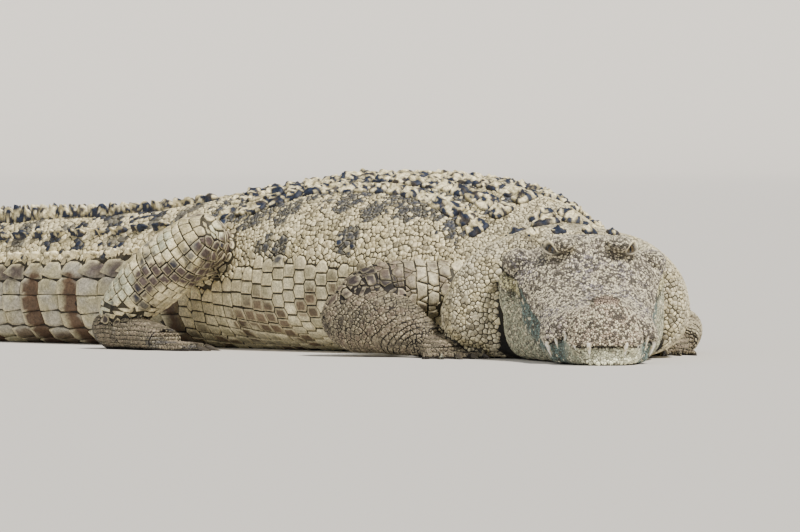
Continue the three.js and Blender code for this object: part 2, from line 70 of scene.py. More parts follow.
# Profiles along the spine: pairs of millimetres behind the snout tip and a value there,
# which is a heading in degrees, a length in millimetres or the exponent of a section.
spine_heading = profile((0, -39.3), (520, -39.3), (620, -33), (720, -28), (850, -18), (1050, -9),
                        (1265, -2), (1500, 4), (1730, 7), (2000, 6), (2300, 3), (2800, -6),
                        (3300, -16), (3800, -24))
body_half_width = profile((520, 167), (530, 184), (542, 208), (560, 228), (600, 250), (660, 260),
                          (730, 248), (800, 238), (880, 244), (1000, 264), (1150, 284),
                          (1300, 290), (1450, 280), (1580, 252), (1700, 214), (1800, 186),
                          (1900, 166), (2050, 148), (2300, 126), (2600, 100), (2900, 72),
                          (3200, 48), (3500, 28), (3700, 16), (3800, 7))
body_shift = profile((520, 0), (600, -14), (700, -16), (800, 0), (3800, 0))
back_height = profile((520, 236), (560, 258), (600, 270), (650, 277), (700, 286), (765, 304),
                      (850, 333), (1000, 354), (1150, 366), (1265, 370), (1440, 370), (1550, 356),
                      (1700, 340), (1810, 330), (2000, 308), (2215, 288), (2350, 280), (2530, 266),
                      (2700, 240), (2850, 208), (3100, 152), (3400, 98), (3600, 60), (3740, 33),
                      (3800, 20))
waist_height = profile((520, 105), (640, 92), (760, 105), (850, 130), (1265, 150), (1600, 140),
                       (1800, 125), (2000, 120), (2300, 112), (2600, 98), (2900, 80), (3200, 62),
                       (3500, 40), (3800, 11))
belly_height = profile((520, -10), (700, -12), (1000, -14), (1600, -14), (1900, -8), (2600, -6),
                       (3800, -3))
upper_power = profile((520, 1.9), (560, 2.2), (610, 2.3), (660, 1.8), (720, 1.45), (800, 1.42),
                      (880, 1.5), (1000, 1.8), (1265, 2.15), (1600, 2.0), (1800, 1.8), (2000, 1.7),
                      (2400, 1.8), (3800, 2.0))
lower_power = profile((520, 2.6), (1265, 2.6), (1800, 2.4), (3800, 2.2))
snout_half_width = profile((0, 20), (10, 46), (30, 68), (55, 76), (80, 71), (97, 66), (112, 72),
                           (130, 98), (150, 114), (180, 118), (230, 113), (280, 118), (330, 128),
                           (380, 140), (430, 153), (470, 165), (500, 168), (520, 162))
mouth_height = profile((0, 40), (30, 38), (60, 42), (90, 56), (105, 58), (125, 48), (150, 42),
                       (180, 48), (215, 74), (250, 86), (290, 92), (340, 118), (390, 150),
                       (430, 168), (470, 180), (520, 186))
skull_height = profile((0, 75), (10, 100), (25, 120), (50, 128), (75, 124), (100, 118), (140, 120),
                       (200, 134), (260, 158), (310, 192), (345, 222), (370, 234), (400, 240),
                       (450, 246), (500, 244), (520, 238))
skull_power = profile((0, 2.4), (60, 2.6), (150, 2.3), (300, 2.15), (360, 2.1), (420, 1.8),
                      (480, 1.65), (520, 1.7))
jaw_half_width = profile((18, 22), (30, 44), (50, 58), (75, 72), (97, 79), (120, 82), (150, 96),
                         (185, 103), (230, 101), (280, 106), (310, 112), (340, 124), (380, 138),
                         (430, 152), (480, 164), (520, 166))
jaw_outline = profile((0, 0.70), (0.10, 0.90), (0.34, 0.99), (0.7, 1), (1, 0.97))
table_half_width = profile((316, 52), (350, 62), (420, 76), (490, 86), (518, 84))
table_height = profile((316, 176), (335, 214), (352, 240), (375, 250), (430, 254), (490, 251),
                       (518, 244))

TOTAL_LENGTH = 3800
SKULL_LENGTH = 520
NECK_FROM = 518
TRUNK_END = 1800
ORIGIN_ALONG = 1265
SPINE_STEP = 5
MM = 0.001

headings = np.radians(spine_heading(np.arange(0, TOTAL_LENGTH, SPINE_STEP) + SPINE_STEP / 2))
spine_at = np.arange(0, TOTAL_LENGTH + SPINE_STEP, SPINE_STEP, dtype=float)
spine_x = -np.concatenate([[0], np.cumsum(np.cos(headings) * SPINE_STEP)])
spine_y = -np.concatenate([[0], np.cumsum(np.sin(headings) * SPINE_STEP)])
spine_x -= spine_x[ORIGIN_ALONG // SPINE_STEP]
spine_y -= spine_y[ORIGIN_ALONG // SPINE_STEP]


def stand(along, side, up):
    """Points in metres from the distance behind the snout, to the left and over the floor."""
    along, side, up = np.broadcast_arrays(*(np.asarray(v, float) for v in (along, side, up)))
    course = np.radians(spine_heading(along))
    x = np.interp(along, spine_at, spine_x) - np.sin(course) * side
    y = np.interp(along, spine_at, spine_y) + np.cos(course) * side
    return np.stack([x, y, up], -1) * MM


def unroll(points):
    """The way back from points in metres to along, side and up in millimetres."""
    x, y, up = (np.asarray(points) / MM).T
    along = np.interp(-x, -spine_x, spine_at)
    for _ in range(8):
        course = np.radians(spine_heading(along))
        ahead = (x - np.interp(along, spine_at, spine_x)) * np.cos(course)
        ahead = ahead + (y - np.interp(along, spine_at, spine_y)) * np.sin(course)
        along = np.clip(along - 0.9 * ahead, 0, TOTAL_LENGTH)
    course = np.radians(spine_heading(along))
    side = (y - np.interp(along, spine_at, spine_y)) * np.cos(course)
    side = side - (x - np.interp(along, spine_at, spine_x)) * np.sin(course)
    return along, side, up


def fade(value, start, end):
    """Rises smoothly from 0 at start to 1 at end."""
    t = np.clip((value - start) / (end - start), 0, 1)
    return t * t * (3 - 2 * t)


def hump(value, middle, spread):
    return np.exp(-((value - middle) / spread) ** 2)


def power(value, exponent):
    return np.sign(value) * np.abs(value) ** exponent


def unit(vectors):
    return vectors / np.maximum(np.linalg.norm(vectors, axis=-1, keepdims=True), 1e-12)


def cloud(points, size, seed):
    """Smooth seeded noise from 0 to 1 with lumps of the given size."""
    spot = np.asarray(points) / size + seed * 17.31
    cell = np.floor(spot).astype(np.int64)
    t = spot - cell
    t = t * t * (3 - 2 * t)
    total = np.zeros(len(spot))
    for corner in itertools.product((0, 1), repeat=3):
        weight = np.prod(np.where(corner, t, 1 - t), -1)
        a, b, c = (cell + corner).T
        mixed = (a * 73856093) ^ (b * 19349663) ^ (c * 83492791) ^ (seed * 7919)
        mixed = ((mixed ^ (mixed >> 13)) * 1274126177) & 0xFFFFFFFF
        total += weight * (((mixed ^ (mixed >> 16)) & 0xFFFF) / 65535)
    return total


def body_point(along, turn):
    """A point of neck, trunk or tail; turn runs from the middle of the back to the left."""
    waist = waist_height(along)
    above = np.cos(turn) >= 0
    reach = np.where(above, back_height(along) - waist, waist - belly_height(along))
    exponent = 2 / np.where(above, upper_power(along), lower_power(along))
    side = body_shift(along) + body_half_width(along) * power(np.sin(turn), exponent)
    up = waist + reach * power(np.cos(turn), exponent)
    return stand(along, side, np.maximum(0, up))


def tube(rings):
    """Corners and faces of rings of the same count joined into a closed length."""
    count, around = rings.shape[:2]
    corners = np.vstack([rings.reshape(-1, 3), rings[0].mean(0), rings[-1].mean(0)])
    r, k = np.meshgrid(np.arange(count - 1), np.arange(around), indexing="ij")
    a = r * around + k
    b = r * around + (k + 1) % around
    walls = np.stack([a, b, b + around, a + around], -1).reshape(-1, 4).tolist()
    k = np.arange(around)
    n = (k + 1) % around
    last = (count - 1) * around
    front = np.stack([n, k, np.full(around, count * around)], -1).tolist()
    back = np.stack([last + k, last + n, np.full(around, count * around + 1)], -1).tolist()
    return corners, walls + front + back


def ball(halves, along, side, up, around=40, over=24):
    """An ellipsoid that stands on the animal, its first half length pointing forward."""
    tilt = np.linspace(0.06, math.pi - 0.06, over)[:, None]
    turn = np.linspace(0, 2 * math.pi, around, endpoint=False)[None, :]
    shape = np.stack([np.sin(tilt) * np.cos(turn), np.sin(tilt) * np.sin(turn),
                      np.cos(tilt) + 0 * turn], -1) * np.array(halves)
    return tube(stand(along - shape[..., 0], side + shape[..., 1], up + shape[..., 2]))


parts = []

body_along = np.arange(NECK_FROM, TOTAL_LENGTH + 1, 12.0)[:, None]
body_turns = np.linspace(0, 2 * math.pi, 96, endpoint=False)[None, :]
parts.append(tube(body_point(body_along, body_turns)))

skull_along = np.append(np.arange(0, SKULL_LENGTH, 5.0), SKULL_LENGTH + 6)[:, None]
skull_turns = np.linspace(-math.pi / 2, math.pi / 2, 56)[None, :]
exponent = 2 / skull_power(skull_along)
roof_side = snout_half_width(skull_along) * power(np.sin(skull_turns), exponent)
roof_rise = skull_height(skull_along) - mouth_height(skull_along)
roof_up = mouth_height(skull_along) + roof_rise * np.abs(np.cos(skull_turns)) ** exponent
palate = np.linspace(0.86, -0.86, 16)[None, :]
palate_side = snout_half_width(skull_along) * palate
palate_up = mouth_height(skull_along) - 9 * fade(skull_along, 16, 40) + 0 * palate
parts.append(tube(stand(skull_along, np.hstack([roof_side, palate_side]),
                        np.hstack([roof_up, palate_up]))))

jaw_along = np.append(np.arange(18, SKULL_LENGTH, 5.0), SKULL_LENGTH + 6)[:, None]
share = np.linspace(0, 1, 16)[None, :]
jaw_side = jaw_half_width(jaw_along) * jaw_outline(share)
jaw_up = share * (mouth_height(jaw_along) - 0.6)
parts.append(tube(stand(jaw_along, np.hstack([jaw_side, -jaw_side[:, ::-1]]),
                        np.hstack([jaw_up, jaw_up[:, ::-1]]))))

table_along = np.arange(316, 519, 6.0)[:, None]
table_shape = np.array([[-1, -60], [-1, -9], [-0.86, -1], [-0.4, 2], [0.4, 2], [0.86, -1],
                        [1, -9], [1, -60]])
table_side = table_half_width(table_along) * table_shape[:, 0]
table_up = table_height(table_along) + np.where(table_shape[:, 1] < -50,
                                                mouth_height(table_along) + 16
                                                - table_height(table_along), table_shape[:, 1])
parts.append(tube(stand(table_along, table_side, table_up)))

EYE_ALONG = 356
EYE_SIDE = 71
EYE_UP = 225
EYE_RADIUS = 20
parts.append(ball((34, 36, 15), 50, 0, 118))
parts.append(ball((25, 33, 13), 47, 0, 129))
for hand in (1, -1):
    parts.append(ball((60, 32, 20), 372, hand * 58, 237))
    parts.append(ball((23, 23, 23), EYE_ALONG, hand * EYE_SIDE, EYE_UP))
    parts.append(ball((62, 30 - 3 * hand, 26), 464, hand * 137, 202))
parts.append(ball((52, 34, 62), 476, -143, 138))

# Limb sections are along, side, up, half breadth and half depth.
right_arm = {
    "upper": [(835, -140, 136, 56, 56), (872, -222, 138, 60, 60), (908, -292, 136, 62, 64),
              (940, -352, 124, 62, 64), (964, -394, 94, 54, 56), (976, -414, 76, 28, 30)],
    "lower": [(1012, -402, 66, 34, 38), (986, -404, 74, 58, 62), (930, -388, 78, 64, 70),
              (866, -362, 74, 62, 66), (800, -335, 62, 52, 60), (745, -310, 46, 42, 46),
              (690, -288, 32, 34, 33)],
    "paw": [(712, -297, 30, 32, 29), (680, -287, 24, 38, 27), (640, -277, 18, 44, 23),
            (612, -270, 13, 44, 17)],
    "knuckles": (618, -271), "bearing": 8, "inner": 1,
}
left_arm = {
    "upper": [(835, 140, 140, 58, 58), (862, 225, 120, 56, 56), (880, 290, 92, 52, 54),
              (890, 340, 62, 46, 48), (894, 372, 46, 34, 36)],
    "lower": [(918, 366, 40, 26, 30), (898, 362, 46, 40, 42), (860, 338, 48, 44, 46),
              (820, 312, 42, 40, 40), (780, 288, 30, 33, 30)],
    "paw": [(812, 296, 26, 30, 24), (792, 274, 22, 36, 24), (766, 250, 18, 42, 20),
            (744, 230, 13, 42, 16)],
    "knuckles": (750, 232), "bearing": -22, "inner": -1,
}
right_leg = {
    "upper": [(1790, -100, 190, 76, 72), (1752, -178, 202, 74, 70), (1708, -244, 222, 64, 62),
              (1672, -290, 236, 54, 54), (1656, -318, 240, 32, 36)],
    "lower": [(1634, -296, 258, 32, 32), (1658, -303, 240, 56, 54), (1708, -312, 202, 68, 66),
              (1766, -322, 158, 70, 68), (1820, -332, 112, 62, 58), (1862, -338, 74, 46, 44),
              (1880, -340, 46, 20, 20)],
    "paw": [(1914, -338, 30, 22, 26), (1892, -340, 40, 34, 40), (1840, -346, 38, 40, 38),
            (1770, -356, 32, 45, 34), (1706, -366, 22, 48, 25)],
    "knuckles": (1716, -365), "bearing": 6, "inner": 1,
}
left_leg = {key: [(row[0], -row[1], *row[2:]) for row in right_leg[key]]
            for key in ("upper", "lower", "paw")}
left_leg.update(knuckles=(1716, 365), bearing=-6, inner=-1)

FRONT_TOES = ((-44, 0.72), (-22, 0.95), (0, 1.05), (22, 0.95), (48, 0.7))
HIND_TOES = ((-20, 0.85), (-6, 1.1), (9, 1.12), (26, 0.9))
LIMBS = ((right_arm, FRONT_TOES, 74, 11), (left_arm, FRONT_TOES, 74, 11),
         (right_leg, HIND_TOES, 96, 13), (left_leg, HIND_TOES, 96, 13))


LIMB_SAMPLES = 44


def limb_axis(sections):
    """Centres, frames and half sizes along a limb length, on a smooth curve."""
    rows = np.array(sections, float)
    knots = np.hstack([stand(rows[:, 0], rows[:, 1], rows[:, 2]), rows[:, 3:] * MM])
    t = np.linspace(0, len(rows) - 1, LIMB_SAMPLES)
    i = np.clip(t.astype(int), 0, len(rows) - 2)
    f = (t - i)[:, None]
    before, here = knots[np.maximum(i - 1, 0)], knots[i]
    there, after = knots[i + 1], knots[np.minimum(i + 2, len(rows) - 1)]
    fine = here + 0.5 * f * (there - before + f * (2 * before - 5 * here + 4 * there - after
                                                  + f * (3 * (here - there) + after - before)))
    centre = fine[:, :3]
    course = unit(np.gradient(centre, axis=0))
    across = unit(np.cross(course, (0, 0, 1)))
    travel = np.concatenate([[0], np.cumsum(np.linalg.norm(np.diff(centre, axis=0), axis=1))])
    return {"centre": centre, "course": course, "across": across, "travel": travel,
            "over": np.cross(across, course), "breadth": fine[:, 3], "depth": fine[:, 4]}


def limb_surface(axis, index, turn):
    """Points of a limb length at sample numbers and turns round it."""
    index, turn = np.broadcast_arrays(index, turn)
    out = axis["across"][index] * (axis["breadth"][index] * np.cos(turn))[..., None]
    out = out + axis["over"][index] * (axis["depth"][index] * np.sin(turn))[..., None]
    points = axis["centre"][index] + out
    points[..., 2] = np.maximum(0, points[..., 2])
    return points


CLAWED_TOE = ((-0.25, 1.0, 1.15), (0.2, 0.95, 1.0), (0.5, 1.05, 0.95), (0.85, 0.9, 0.8),
              (1, 0.66, 0.62), (1.07, 0.3, 0.3))
BLUNT_TOE = ((-0.25, 1.0, 1.15), (0.2, 0.95, 1.0), (0.5, 1.05, 0.95), (0.9, 0.85, 0.75),
             (1.1, 0.6, 0.5), (1.22, 0.25, 0.2))
limb_axes = []
claw_roots = []
for number, (plan, toes, toe_length, toe_thick) in enumerate(LIMBS):
    for key in ("upper", "lower", "paw"):
        axis = limb_axis(plan[key])
        axis["limb"] = number
        axis["stage"] = ("upper", "lower", "paw").index(key)
        limb_axes.append(axis)
        around = np.linspace(0, 2 * math.pi, 28, endpoint=False)[None, :]
        parts.append(tube(limb_surface(axis, np.arange(LIMB_SAMPLES)[:, None], around)))
    along, side = plan["knuckles"]
    for toe, (bearing, share) in enumerate(toes):
        direction = math.radians(float(spine_heading(along)) + bearing * 0.55 + plan["bearing"])
        forward = np.array([math.cos(direction), math.sin(direction), 0])
        across = np.array([-forward[1], forward[0], 0])
        start = stand(along, side + bearing * 0.9, 0)
        reach = toe_length * share * MM
        clawed = (toe if plan["inner"] > 0 else len(toes) - 1 - toe) >= len(toes) - 3
        stages = np.array(CLAWED_TOE if clawed else BLUNT_TOE)
        fine = np.linspace(0, len(stages) - 1, 16)
        stages = np.stack([np.interp(fine, np.arange(len(stages)), column)
                           for column in stages.T], -1)
        arc = np.linspace(0, math.pi, 11)
        rings = start + forward * (stages[:, 0] * reach)[:, None, None] \
            + across * (np.cos(arc) * stages[:, 1:2] * toe_thick * MM)[..., None] \
            + np.array([0, 0, 1.7]) * (np.sin(arc) * stages[:, 2:] * toe_thick * MM)[..., None]
        parts.append(tube(rings))
        if clawed:
            claw_roots.append((start + forward * reach * 0.94, direction, toe_thick, reach * 0.36))

# Stage (upper, lower, paw) and limb of each limb length; the last entry is the body's.
STAGE_OF = np.array([axis["stage"] for axis in limb_axes] + [0])
LIMB_OF = np.array([axis["limb"] for axis in limb_axes] + [-1])


def mesh_object(name, corners, faces):
    mesh = bpy.data.meshes.new(name)
    mesh.from_pydata(np.asarray(corners).tolist(), [], faces)
    mesh.update()
    thing = bpy.data.objects.new(name, mesh)
    bpy.context.scene.collection.objects.link(thing)
    return thing


def settle(thing):
    """Takes what the modifiers make as the object's own mesh and drops the modifiers."""
    finished = bpy.data.meshes.new_from_object(
        thing.evaluated_get(bpy.context.evaluated_depsgraph_get()))
    rough = thing.data
    thing.modifiers.clear()
    thing.data = finished
    bpy.data.meshes.remove(rough)
    finished.name = thing.name
    return thing


def vectors_of(layer, key):
    """The three numbers that a mesh keeps under a key for each of its corners."""
    flat = np.empty(len(layer) * 3, np.float32)
    layer.foreach_get(key, flat)
    return flat.reshape(-1, 3).astype(float)


def move_corners(mesh, points):
    mesh.vertices.foreach_set("co", points.astype(np.float32).ravel())
    mesh.update()


corners, faces, count = [], [], 0
for part_corners, part_faces in parts:
    corners.append(part_corners)
    faces.extend([[k + count for k in face] for face in part_faces])
    count += len(part_corners)
hide = mesh_object("hide", np.vstack(corners), faces)
bulk = hide.modifiers.new("fuse", "REMESH")
bulk.mode = "VOXEL"
bulk.voxel_size = 0.0035
softened = hide.modifiers.new("soften", "SMOOTH")
softened.factor = 0.5
softened.iterations = 4
settle(hide)

HEAD_HEADING = math.radians(-39.3)
EYE_GAZE, LID_GAZE = (26, 6), (50, 12)


def look(hand, outward, upward):
    """Forward, left and up directions of a gaze turned outward and upward by degrees."""
    turn = HEAD_HEADING + hand * math.radians(outward)
    lift = math.radians(upward)
    ahead = np.array([math.cos(turn) * math.cos(lift), math.sin(turn) * math.cos(lift),
                      math.sin(lift)])
    left = np.array([-math.sin(turn), math.cos(turn), 0])
    return ahead, left, np.cross(ahead, left)


LID_SLANT = math.radians(20)
LID_ARC = 21


def lid_reach(turn):
    """Half widths of the eye opening at turns round it from the outer corner upwards."""
    tall = np.where(np.sin(turn) > 0, 9.4 + 2.4 * np.cos(turn), 6.6)
    return 17.5 * np.cos(turn), tall * np.sin(turn)


def eye_opening(points, hand):
    """Shares of the way out from the opening's middle to its rim, and the offsets."""
    ahead, left, over = look(hand, *LID_GAZE)
    offset = points - stand(EYE_ALONG, hand * EYE_SIDE, EYE_UP)
    away = np.linalg.norm(offset, axis=1)
    span = np.arccos(np.clip(offset @ ahead / away, -1, 1)) * LID_ARC
    x, y = hand * (offset @ left), offset @ over
    u = x * math.cos(LID_SLANT) + y * math.sin(LID_SLANT)
    v = y * math.cos(LID_SLANT) - x * math.sin(LID_SLANT)
    wide, tall = lid_reach(np.arctan2(v / 8, u / 17))
    return span / np.hypot(wide, tall), away, offset


# Distances round the body from the middle of the back, at steps along it and turns round it.
GIRTH_STEP = 6.0
TURNS = np.linspace(0, math.pi, 181)
GIRTH_ALONG = np.arange(NECK_FROM, TOTAL_LENGTH + 1, GIRTH_STEP)
ring_points = body_point(GIRTH_ALONG[:, None], TURNS[None, :])
ring_steps = np.linalg.norm(np.diff(ring_points, axis=1), axis=-1) / MM
GIRTHS = np.hstack([np.zeros((len(GIRTH_ALONG), 1)), np.cumsum(ring_steps, axis=1)])
ROOT_HALF_GIRTH = 440


def half_girth_at(along):
    """Distance round the body from the middle of the back to the middle of the belly."""
    return np.interp(along, GIRTH_ALONG, GIRTHS[:, -1])


def body_reading(along, side, up):
    """Turn round the body, signed girth from the middle of the back, and how far out."""
    waist = waist_height(along)
    off = (side - body_shift(along)) / body_half_width(along)
    above = up >= waist
    reach = np.where(above, back_height(along) - waist, waist - belly_height(along))
    lift = (up - waist) / reach
    exponent = np.where(above, upper_power(along), lower_power(along))
    out = (np.abs(off) ** exponent + np.abs(lift) ** exponent) ** (1 / exponent)
    turn = np.arctan2(np.abs(off) ** (exponent / 2), power(lift, exponent / 2))
    row = np.clip((along - GIRTH_ALONG[0]) / GIRTH_STEP, 0, len(GIRTH_ALONG) - 1.001)
    col = np.clip(turn / TURNS[1], 0, len(TURNS) - 1.001)
    i, j = row.astype(int), col.astype(int)
    u, v = row - i, col - j
    girth = (GIRTHS[i, j] * (1 - u) * (1 - v) + GIRTHS[i + 1, j] * u * (1 - v)
             + GIRTHS[i, j + 1] * (1 - u) * v + GIRTHS[i + 1, j + 1] * u * v)
    return turn, girth * np.sign(off + 1e-9), out


for axis in limb_axes:
    if axis["stage"] == 2:
        reach = np.linspace(0.008, 0.12, 8)[:, None]
        axis["reading"] = {
            "centre": np.vstack([axis["centre"], axis["centre"][-1] + axis["course"][-1] * reach]),
            "travel": np.concatenate([axis["travel"], axis["travel"][-1] + reach[:, 0]]),
            "breadth": np.concatenate([axis["breadth"], np.full(8, 0.055)]),
            "depth": np.concatenate([axis["depth"], np.full(8, 0.02)]),
        }
        for key in ("course", "across", "over"):
            axis["reading"][key] = np.vstack([axis[key], np.repeat(axis[key][-1:], 8, 0)])
    else:
        axis["reading"] = axis


LIMB_ROOM = 0.09


def limb_reading(points, out):
    """Limb length nearest to each point (-1 on the body), its travel and turn there."""
    closest = np.abs(out - 1) * 0.13
    which = np.full(len(points), -1)
    travel, turn = np.zeros((2, len(points)))
    for number, axis in enumerate(limb_axes):
        shape = axis["reading"]
        low = shape["centre"].min(0) - LIMB_ROOM
        high = shape["centre"].max(0) + LIMB_ROOM
        inside = np.nonzero(np.all((points > low) & (points < high), 1))[0]
        offset = points[inside][:, None] - shape["centre"]
        at = np.argmin((offset ** 2).sum(-1), 1)
        offset = offset[np.arange(len(inside)), at]
        x = (offset * shape["across"][at]).sum(-1) / shape["breadth"][at]
        y = (offset * shape["over"][at]).sum(-1) / shape["depth"][at]
        past = (offset * shape["course"][at]).sum(-1)
        gap = np.abs(np.hypot(x, y) - 1) * np.minimum(shape["breadth"], shape["depth"])[at]
        gap = gap + 0.5 * np.abs(past)
        better = gap < closest[inside]
        chosen = inside[better]
        closest[chosen] = gap[better]
        which[chosen] = number
        travel[chosen] = (shape["travel"][at[better]] + past[better]) / MM
        turn[chosen] = np.arctan2(y, x)[better]
    return which, travel, turn


points = vectors_of(hide.data.vertices, "co")
normals = vectors_of(hide.data.vertex_normals, "vector")
along, side, up = unroll(points)
_, _, out = body_reading(along, side, up)
which, travel, _ = limb_reading(points, out)
on_head = fade(along, 528, 516)
mouth = mouth_height(along)
off_lip = up - mouth
faces_side = fade(np.abs(normals[:, 2]), 0.9, 0.6) * on_head
shift = -(2.4 - 1.4 * on_head)
in_mouth = fade(along, 6, 20) * fade(along, 512, 496) * faces_side
shift -= 6 * hump(off_lip, 0, 3.0) * in_mouth
scallop = 0.5 + 0.5 * np.sin(along / 27 * 2 * math.pi)
shift += (2.2 + 1.3 * scallop) * hump(off_lip, 8, 6) * in_mouth
shift += 1.4 * hump(off_lip, -9, 6) * in_mouth
corner_patch = fade(along, 420, 436) * fade(along, 518, 508) * faces_side
shift -= 3.5 * hump(off_lip, -44, 3.5) * corner_patch
shift += 2.5 * hump(off_lip, -22, 14) * corner_patch
shift -= 3.5 * hump(along, 424, 3.5) * fade(off_lip, -50, -44) * fade(off_lip, 0, -5) * faces_side
crease = hump(along, 527, 9) * fade(up, 206, 176) * fade(np.abs(normals[:, 2]), 0.95, 0.7)
shift -= 12 * crease
disc = np.hypot(side / 35, (along - 47) / 28)
shift -= 2.6 * hump(disc, 1.0, 0.1) * fade(up, 106, 116) * (along < 90)
for hand in (1, -1):
    swing = (up - 134) - 0.03 * (hand * side - 14) ** 2
    nostril = hump(swing, 0, 2.4) * hump(hand * side, 14, 10) * (along < 60)
    shift -= 5 * nostril
    ear = hump(up, 236 - 0.06 * (along - 418), 2.6) * fade(along, 386, 396) * fade(along, 448, 438)
    shift -= 5 * ear * fade(hand * side, 66, 72) * on_head
    brow = hump(along, 333, 10) * hump(hand * side, 50, 9) * fade(up, 190, 205)
    shift -= 2.0 * brow
rough = cloud(points, 0.021, 3) - 0.5
knobs = cloud(points, 0.009, 4) - 0.5
ridged = 0.5 - np.abs(cloud(points, 0.013, 8) - 0.5)
shift += on_head * fade(off_lip, 0, 12) * (4.2 * rough + 2.2 * knobs + 3.0 * (ridged - 0.35))
shift += (1 - on_head) * (which < 0) * 5 * (cloud(points, 0.07, 5) - 0.5)
fold_pitch = 33 + 9 * cloud(points, 0.09, 6)
folds = np.abs(np.sin(math.pi * (travel + 26 * cloud(points, 0.05, 7)) / fold_pitch)) ** 0.6
shift += np.where((which >= 0) & (STAGE_OF[which] < 2), 4.2 * (folds - 0.7), 0)
normals[:, 2] = np.where(normals[:, 2] < -0.5, 0, normals[:, 2])
points = points + normals * shift[:, None] * MM
for hand in (1, -1):
    opening, away, offset = eye_opening(points, hand)
    carve = fade(opening, 1.3, 1.08) * fade(away, 0.036, 0.028)
    points = points + offset * (carve * (np.minimum(away, 0.0175) / away - 1))[:, None]
points[:, 2] = np.where(points[:, 2] < 0.0015, 0, points[:, 2])
move_corners(hide.data, points)

# The head keeps its fine faces; the body gives up most of its own, where scales cover it.
HIDE_TRIANGLES = 175000
COARSE_LEVELS = 8
coarse_group = hide.vertex_groups.new(name="coarse")
coarse = 0.06 + 0.94 * fade(along, 560, 620)
levels = np.round(coarse * COARSE_LEVELS).astype(int)
for level in np.unique(levels):
    coarse_group.add(np.nonzero(levels == level)[0].tolist(), level / COARSE_LEVELS, "REPLACE")
thin = hide.modifiers.new("thin", "DECIMATE")
thin.vertex_group = "coarse"
thin.vertex_group_factor = 1.0
thin.use_collapse_triangulate = True
triangle_count = sum(len(p.vertices) - 2 for p in hide.data.polygons)
thin.ratio = min(1.0, HIDE_TRIANGLES / triangle_count)
settle(hide)
hide.vertex_groups.clear()


def paint(red, green, lip_shade):
    """Linear light from a colour as a paint chart gives it, 0 to 255."""
    value = np.array([red, green, lip_shade]) / 255
    return np.where(value <= 0.04045, value / 12.92, ((value + 0.055) / 1.055) ** 2.4)


def blend_paint(first, second, share):
    return first + (second - first) * np.clip(share, 0, 1)[:, None]


def painted(base, *coats):
    """Coats of (paint, share) laid over a base, one after another."""
    for colour, share in coats:
        base = blend_paint(base, colour, share)
    return base


CREAM, OLIVE_CREAM, BUFF = paint(240, 227, 184), paint(190, 177, 134), paint(214, 199, 158)
# The near-black at the end of the next line is painted shade, laid into cracks, creases and
# grooves.
PALE_GREEN, GREY_GREEN, CRACK_SHADE = paint(224, 214, 178), paint(176, 168, 134), paint(26, 22, 18)
DARK_BROWN, BLUE_BLACK, BARK = paint(92, 72, 54), paint(40, 48, 66), paint(74, 66, 56)
THIGH_CREAM, THIGH_GREEN, PLUM = paint(234, 220, 178), paint(198, 198, 168), paint(72, 58, 60)
ARM_GREY, ARM_PALE, ARM_DARK = paint(106, 92, 80), paint(200, 187, 156), paint(46, 41, 42)
SHOULDER, FOOT_GREY, RING_GREY = paint(200, 190, 160), paint(128, 114, 98), paint(178, 172, 154)
HEAD_GREY, HEAD_CREAM, HEAD_DARK = paint(150, 141, 131), paint(230, 220, 190), paint(48, 45, 48)
LAVENDER, MUZZLE, NOSE_PINK = paint(134, 128, 134), paint(184, 164, 142), paint(172, 150, 132)
JAW_GREEN, LIP_SHADE_BLUE, TEAL_BLACK = paint(160, 164, 142), paint(84, 112, 114), paint(24, 36, 38)
JOWL, CHIN_GREEN, YELLOW_GREEN = paint(214, 204, 174), paint(236, 236, 206), paint(216, 208, 160)

# Pitches of the folds across the legs; the forearm's are arcs round a point at the wrist.
FOOT_STEP = 9
ARC_UP, ARC_TRAVEL, ARC_STEP, ARCS_FINE = 10, 248, 13, 7
THIGH_STEP, SHANK_STEP, SHOULDER_STEP = 21, 20, 24

# Dark blotches of the flank: distance along, girth from the middle of the back, radius.
BLOTCHES = ((1490, 221, 38), (1300, 210, 38), (1215, 312, 38), (1455, 332, 30), (1520, 298, 28),
            (1190, 230, 34), (1085, 216, 30), (1050, 178, 32), (1000, 171, 28), (1440, 164, 32),
            (990, 132, 30), (595, 160, 22), (1345, 150, 34), (1620, 190, 34), (1700, 250, 28),
            (1130, 150, 36), (1240, 140, 30), (1560, 140, 34))
WHORL_EDGES = [1834.0]
while WHORL_EDGES[-1] < 3760:
    WHORL_EDGES.append(WHORL_EDGES[-1] + float(np.interp(
        WHORL_EDGES[-1], [1834, 2200, 2400, 2838, 3800], [64.5, 63, 56, 50, 40])))
WHORL_EDGES = np.array(WHORL_EDGES)


def whorl_lean(along, girth):
    """How far forward a ring of the tail bends at each distance round it."""
    round_at = np.abs(girth) / (half_girth_at(along) / ROOT_HALF_GIRTH)
    return 24 * np.clip((228 - round_at) / 70, 0, 1) ** 1.6 + 18 * fade(round_at, 250, 400)


def read_places(points):
    """Everything that the markings and the scales need to know about points of the hide."""
    along, side, up = unroll(points)
    _, girth, out = body_reading(along, side, up)
    which, travel, limb_turn = limb_reading(points, out)
    which = np.where(along < 530, -1, which)
    head_turn = np.arctan2(side / snout_half_width(along), (up - 60) / 120)
    girth = np.where(along < SKULL_LENGTH, head_turn * 150, girth)
    return {"points": points, "along": along, "side": side, "up": up, "girth": girth,
            "which": which, "travel": travel, "limb_turn": limb_turn}


def blotch_share(spot, along, girth):
    """How far each place lies inside a dark blotch of the flank, 0 to 1."""
    blotch = np.zeros(len(spot))
    ragged = 0.85 + 0.3 * cloud(spot, 0.016, 15)
    for at, round_at, radius in BLOTCHES:
        reach = np.hypot(along - at, girth - round_at) / (radius * ragged)
        blotch = np.maximum(blotch, fade(reach, 1.08, 0.85))
    return blotch


